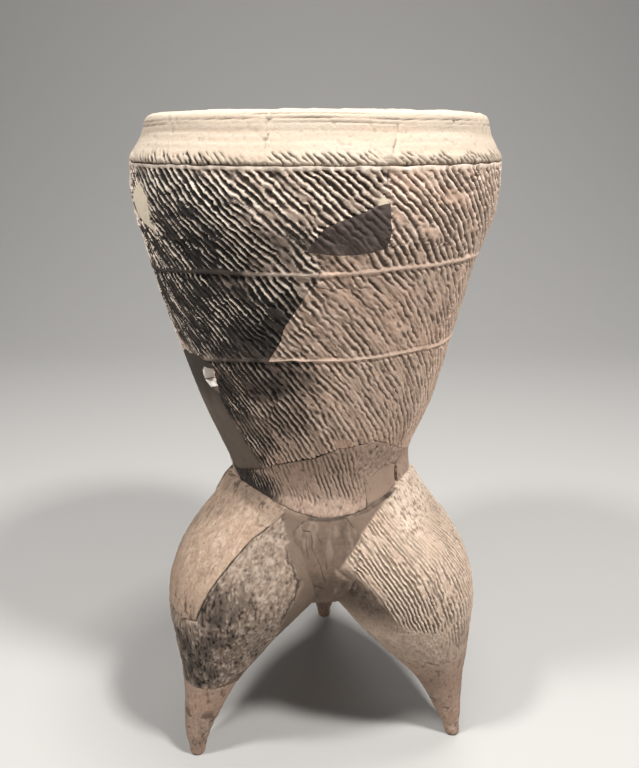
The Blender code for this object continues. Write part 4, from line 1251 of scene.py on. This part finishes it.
finishes = {
    "pale_clay": earthenware(
        "wiped_pale_clay", (0.435, 0.352, 0.273), (0.455, 0.352, 0.265), (0.54, 0.47, 0.386),
        groove_dirt_and_shade=0.8, blotch=0.2, grain=0.15),
    "leg_sherd": earthenware(
        "scraped_pink_clay", (0.385, 0.272, 0.197), (0.425, 0.29, 0.205), (0.58, 0.465, 0.36),
        grain=0.7, smear_and_shadow_colour=(0.19, 0.136, 0.10)),
    "tan_clay": earthenware(
        "cord_marked_tan_clay", (0.475, 0.338, 0.26), (0.53, 0.362, 0.27), (0.80, 0.66, 0.54),
        groove_dirt_and_shade=0.85, dust_and_highlight=0.75),
    # A lighter copy of the tan clay for the back sherd: painted light on the bowl's right side
    "lit_back_clay": earthenware(
        "cord_marked_lit_back_clay", (0.60, 0.425, 0.328), (0.65, 0.445, 0.333), (0.92, 0.775, 0.65),
        groove_dirt_and_shade=0.82, dust_and_highlight=0.9),
    "sooty_clay": earthenware(
        "cord_marked_sooty_clay", (0.42, 0.318, 0.253), (0.46, 0.337, 0.262), (0.82, 0.70, 0.585),
        groove_dirt_and_shade=0.95, dust_and_highlight=0.95),
    # A darker copy of the tan clay for the waist band and the ledge: painted shade under the bowl
    "shaded_waist_clay": earthenware(
        "luted_waist_clay_in_shade", (0.35, 0.25, 0.192), (0.39, 0.27, 0.203), (0.56, 0.455, 0.37), grain=0.5),
    "left_leg_clay": earthenware(
        "weathered_leg_clay", (0.232, 0.172, 0.133), (0.255, 0.184, 0.138), (0.50, 0.41, 0.328),
        groove_dirt_and_shade=0.8, dust_and_highlight=0.7, blotch=0.25, grain=0.6),
    "grey_clay": earthenware(
        "cord_marked_grey_clay", (0.098, 0.073, 0.063), (0.112, 0.083, 0.07), (0.19, 0.15, 0.128),
        dust_and_highlight=0.3, groove_dirt_and_shade=0.6),
    "leg_clay": earthenware("cord_marked_leg_clay", *LEG_COLOURS, groove_dirt_and_shade=0.6, blotch=0.3, grain=0.5),
    "pink_clay": earthenware(
        "worn_pink_foot_clay", (0.28, 0.195, 0.146), (0.34, 0.222, 0.16), (0.48, 0.36, 0.277),
        groove_dirt_and_shade=0.6, grain=0.5),
    # The seam clay's brown is dark as painted shadow under the bowl
    "seam_clay": earthenware(
        "pressed_seam_clay", *LEG_COLOURS, groove_dirt_and_shade=0.6, blotch=0.3, grain=0.5, smear_and_shadow_colour=(0.132, 0.091, 0.066)),
    "grate_clay": earthenware(
        "pierced_grate_clay", (0.31, 0.235, 0.18), (0.37, 0.27, 0.20), (0.50, 0.40, 0.32)),
    "pale_plaster": filling_plaster("pale_filling_plaster", (0.74, 0.635, 0.49), (0.60, 0.50, 0.38)),
    "tan_plaster": filling_plaster("tan_filling_plaster", (0.34, 0.244, 0.182), (0.285, 0.20, 0.148)),
    # Brown plaster of the lower left fill, darker still as painted shade
    "brown_plaster": filling_plaster("brown_filling_plaster", (0.13, 0.098, 0.075), (0.10, 0.075, 0.058)),
}


# The pieces

def stands_for(node):
    """Hides the solid that a drawn piece stands for."""
    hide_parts(node)


def node_middle(node):
    """Bearing of the middle of a piece of the bowl, seen from its axis."""
    low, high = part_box(node)
    middle = (low + high) / 2
    return math.degrees(math.atan2(middle.x, -middle.y))


def draw_bowl():
    """Rim, wall sherds, fills and waist band."""
    walls = seams_at(BOWL_SEAMS)
    pieces = {
        "rim_front_sherd": (rim_relief, "pale_clay", "pale_clay", RIM_FRONT_STEP, rim_seams),
        "rim_ring": (rim_relief, "pale_clay", "pale_clay", RIM_RING_STEP, rim_seams),
        "soot_wall_sherd": (wall_relief(), "sooty_clay", "sooty_clay", MARKED_STEP, walls),
        "dark_inset_sherd": (wall_relief(worn=0.6, soot=0.0), "grey_clay", "grey_clay", MARKED_STEP, walls),
        "front_wall_sherd": (wall_relief(soot=0.3), "tan_clay", "tan_clay", MARKED_STEP, walls),
        "lower_wall_sherd": (wall_relief(), "tan_clay", "tan_clay", MARKED_STEP, walls),
        "back_wall_sherd": (wall_relief(), "lit_back_clay", "tan_clay", BACK_STEP, walls),
        "left_edge_fill": (plaster_relief, "pale_plaster", "plaster", PLAIN_STEP, walls),
        "lower_left_fill": (plaster_relief, "brown_plaster", "plaster", PLAIN_STEP, walls),
        "corner_fill": (plaster_relief, "pale_plaster", "plaster", PLAIN_STEP, walls),
        "waist_band": (waist_relief, "shaded_waist_clay", "tan_clay", WAIST_STEP, walls),
        "waist_fill": (plaster_relief, "tan_plaster", "plaster", PLAIN_STEP, walls),
    }
    middles = {"back_wall_sherd": 180.0, "rim_ring": 180.0, "waist_band": 0.0}
    for node, (relief, finish, slot, mesh_step, seams) in pieces.items():
        skin = BowlSkin(middles[node] if node in middles else node_middle(node))
        loops = solid_outlines(node, skin)
        cracks = []
        for line in CRACKS.get(node, ()):
            cracks.append([(wrapped(turn - skin.middle), height) for turn, height in line])
        obj = draw_skin(
            f"{node}_skin", skin, loops, relief, finishes[finish], mesh_step, seams, cracks=cracks)
        stands_for(node)


def draw_legs():
    """Leg pouches, the mended leg sherd and the feet."""
    right_relief = marked_leg_relief(RIGHT_MARKS_EDGE, RIGHT_LEG_SOOT, RIGHT_MARKS_END)
    rear_relief = marked_leg_relief(REAR_MARKS_EDGE, [], REAR_MARKS_END)
    pouches = {
        "left": (left_leg_relief, "left_leg_clay", "sooty_clay", LEFT_LEG_SEAMS),
        "right": (right_relief, "leg_clay", "tan_clay", RIGHT_LEG_SEAMS),
        "rear": (rear_relief, "leg_clay", "tan_clay", []),
    }
    for name, (relief, finish, slot, seams) in pouches.items():
        skin = LegSkin(name)
        node = f"{name}_leg_pouch"
        loops = solid_outlines(node, skin)
        obj = draw_skin(
            f"{node}_skin", skin, loops, relief, finishes[finish], LEG_STEP, seams_at(seams),
            cracks=CRACKS.get(node, ()))
        stands_for(node)
        draw_foot(name, skin)
    skin = LegSkin("left")
    node = "left_leg_outer_sherd"
    loops = solid_outlines(node, skin)
    obj = draw_skin(
        f"{node}_skin", skin, loops, leg_sherd_relief, finishes["leg_sherd"], LEG_SHERD_STEP,
        seams_at(LEFT_LEG_SEAMS))
    stands_for(node)


def draw_foot(name, skin):
    """Solid foot with a worn sole, up to the tenon inside the pouch."""
    node = f"{name}_foot"
    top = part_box(node)[1].z / MM
    joint = top - TENON - 1.0
    columns = 120
    turns = np.arange(columns) * 360 / columns
    heights = np.concatenate([np.linspace(0, 4, 7), np.linspace(4.8, joint + 1.4, 72)])
    rings = []
    grooves = []
    pales = []
    for height in heights:
        flat = np.stack([turns * skin.spread, np.full(columns, height)], 1)
        base = skin.place(flat)
        growth = smooth(SOLE_WEAR, height)
        chips = eased(0.1, 0.7, lumps(base, 7, 161) + 0.4 * lumps(base, 3, 162)) * eased(60, 20, height)
        streaks = lumps(base * [1, 1, 0.12], 2.6, 164) + 0.6 * lumps(base * [1, 1, 0.2], 1.5, 165)
        grit = rough_clay(base, 166)
        worn = 0.6 * hand_built(base) - 0.9 * chips + 0.2 * streaks + 0.35 * grit
        push = growth + eased(2, 10, height) * worn
        push -= 0.7 * eased(joint - 0.3, joint + 1.4, height)
        rings.append(base + normals_of(skin, flat) * [1, 1, 0] * push[:, None])
        streaks = np.maximum(streaks, 1.6 * grit)
        # Dark between the streaks: dirt, and painted shade through the groove mask
        groove_dirt_and_shade = 0.7 * eased(0.1, 0.8, -streaks - 0.6 * grit)
        grooves.append(np.maximum(0.8 * hump(chips - 0.4, 0.35), groove_dirt_and_shade))
        rubbed = 0.6 * eased(0.1, 0.9, streaks) * eased(60, 40, height)
        slip = 0.45 * eased(joint - 26, joint - 4, height) * eased(-0.8, 0.6, streaks)
        pales.append(np.maximum(np.maximum(0.8 * eased(0.5, 0.9, chips), rubbed), slip))
    neck = float(smooth(skin.radius, joint)) - LEG_WALL - 0.8
    for rise, shrink in ((1.4, 0.0), (TENON * 0.7, 0.0), (TENON, 2.5)):
        flat = np.stack([turns * skin.spread, np.full(columns, joint + rise)], 1)
        inward = (smooth(skin.radius, joint + rise) - neck + shrink) / LEG_WALL
        rings.append(skin.place(flat, inward))
        grooves.append(np.zeros(columns))
        pales.append(np.zeros(columns))
    masks = {"groove": np.concatenate(grooves), "pale": np.concatenate(pales)}
    obj = draw_rings(f"{node}_skin", np.array(rings), finishes["pink_clay"], masks, capped=True)
    stands_for(node)


def draw_web():
    """Clay pressed into the crotch and dragged up the three seams, let a little into the legs."""
    skin = WebSkin()
    loops = solid_outlines("crotch_web", skin)
    obj = draw_skin(
        "crotch_web_skin", skin, loops, web_relief, finishes["seam_clay"], PLAIN_STEP, web_seams,
        grow=1.6, cracks=CRACKS["crotch_web"])
    stands_for("crotch_web")


def draw_grate():
    """Pierced disc that lies loose on the ledge."""
    low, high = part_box("grate")
    centre = np.array([low.x + high.x, low.y + high.y]) / 2 / MM
    skin = DiscSkin(centre, high.z / MM, GRATE_THICK)
    turn = np.radians(np.arange(0, 360, 3))
    circle = np.stack([np.cos(turn), np.sin(turn)], 1)
    loops = [GRATE_RADIUS * circle]
    for radius, count in GRATE_RINGS:
        for k in range(count):
            loops.append(GRATE_HOLE * circle[::-5] + radius * outwards(360 * k / count))
    obj = draw_skin(
        "grate_disc", skin, loops, grate_relief, finishes["grate_clay"], GRATE_STEP, grow=0, wobble=0.35,
        body="grate")
    stands_for("grate")


def draw_ledge():
    """Clay ledge inside the waist, with a soft lip round the throat."""
    points, _ = solid_mesh("grate_ledge")
    radii = np.linalg.norm(points[:, :2] - [smooth(SWAY, LEDGE_LEVEL), 0.0], axis=1)
    outer, bore = float(radii.max()), float(radii.min())
    top, foot = points[:, 2].max(), points[:, 2].min()
    lip = bore + 5
    section = [
        (outer - 1.2, foot + 0.5), (outer - 0.2, top - 0.6), (outer - 1.5, top), (bore + 4, top),
        (bore + 1.2, top - 0.6), (bore, top - 3), (bore, top - 6.5), (bore + 1.2, top - 8),
        (outer - 5, foot),
    ]
    turns = np.radians(np.arange(0, 360, 2.5))
    around = np.stack([np.sin(turns), -np.cos(turns)], 1)
    rings = []
    for radius, height in section:
        middle = [smooth(SWAY, height if radius > lip else LEDGE_LEVEL), 0.0]
        ring = np.column_stack([middle + radius * around, np.full(len(turns), height)])
        if radius < lip:
            ring[:, :2] += 0.35 * lumps(ring, 14, 171)[:, None] * around
        rings.append(ring)
    obj = draw_rings("grate_ledge_ring", np.array(rings)[::-1], finishes["shaded_waist_clay"], {}, capped=False)
    stands_for("grate_ledge")


# Studio

def make_sweep():
    """Pale floor that curves up far behind the pot."""
    arc = []
    for t in np.linspace(0.1, math.pi / 2, 16):
        arc.append((SWEEP_BEND + SWEEP_BEND * math.sin(t), SWEEP_BEND - SWEEP_BEND * math.cos(t)))
    profile = [(SWEEP_FRONT, 0.0), (SWEEP_BEND, 0.0), *arc, (2 * SWEEP_BEND, SWEEP_TOP)]
    points = [(x, y, z) for x in (-SWEEP_HALF_WIDTH, SWEEP_HALF_WIDTH) for y, z in profile]
    many = len(profile)
    faces = [(i, many + i, many + i + 1, i + 1) for i in range(many - 1)]
    mesh = bpy.data.meshes.new("studio_sweep")
    mesh.from_pydata(points, [], faces)
    mesh.shade_smooth()
    paint = Paint("pale_paper")
    tooth = paint.cloud(3, 3)
    mesh.materials.append(paint.finish((0.42, 0.412, 0.40), 0.9 + 0.05 * tooth, tooth, 0.05))
    new_object("studio_sweep", mesh)


def light_studio():
    """Soft lamps over and round the pot, and faint air light."""
    for name, (place, aim_height, size, power, colour) in LAMPS.items():
        light = bpy.data.lights.new(name, "AREA")
        light.size = size
        light.energy = power
        light.color = colour
        lamp = new_object(name, light)
        lamp.location = place
        aim = Vector((0, 0, aim_height))
        lamp.rotation_euler = (aim - Vector(place)).to_track_quat("-Z", "Y").to_euler()
    world = bpy.data.worlds.new("studio_air")
    world.use_nodes = True
    air = world.node_tree.nodes["Background"].inputs
    air["Color"].default_value = (0.95, 0.97, 1.0, 1)
    air["Strength"].default_value = 0.13
    bpy.context.scene.world = world
    bpy.context.scene.view_settings.view_transform = "Standard"


def place_camera():
    """Camera at the photograph's angle."""
    view = bpy.data.cameras.new("camera")
    view.sensor_fit = "VERTICAL"
    view.sensor_height = 36
    view.lens = view.sensor_height * CAMERA_FOCUS
    camera = new_object("camera", view)
    camera.location = CAMERA_PLACE
    camera.rotation_euler = (math.radians(90 - CAMERA_PITCH), 0, 0)
    bpy.context.scene.camera = camera


make_sweep()
light_studio()
place_camera()
draw_bowl()
draw_legs()
draw_web()
draw_grate()
draw_ledge()
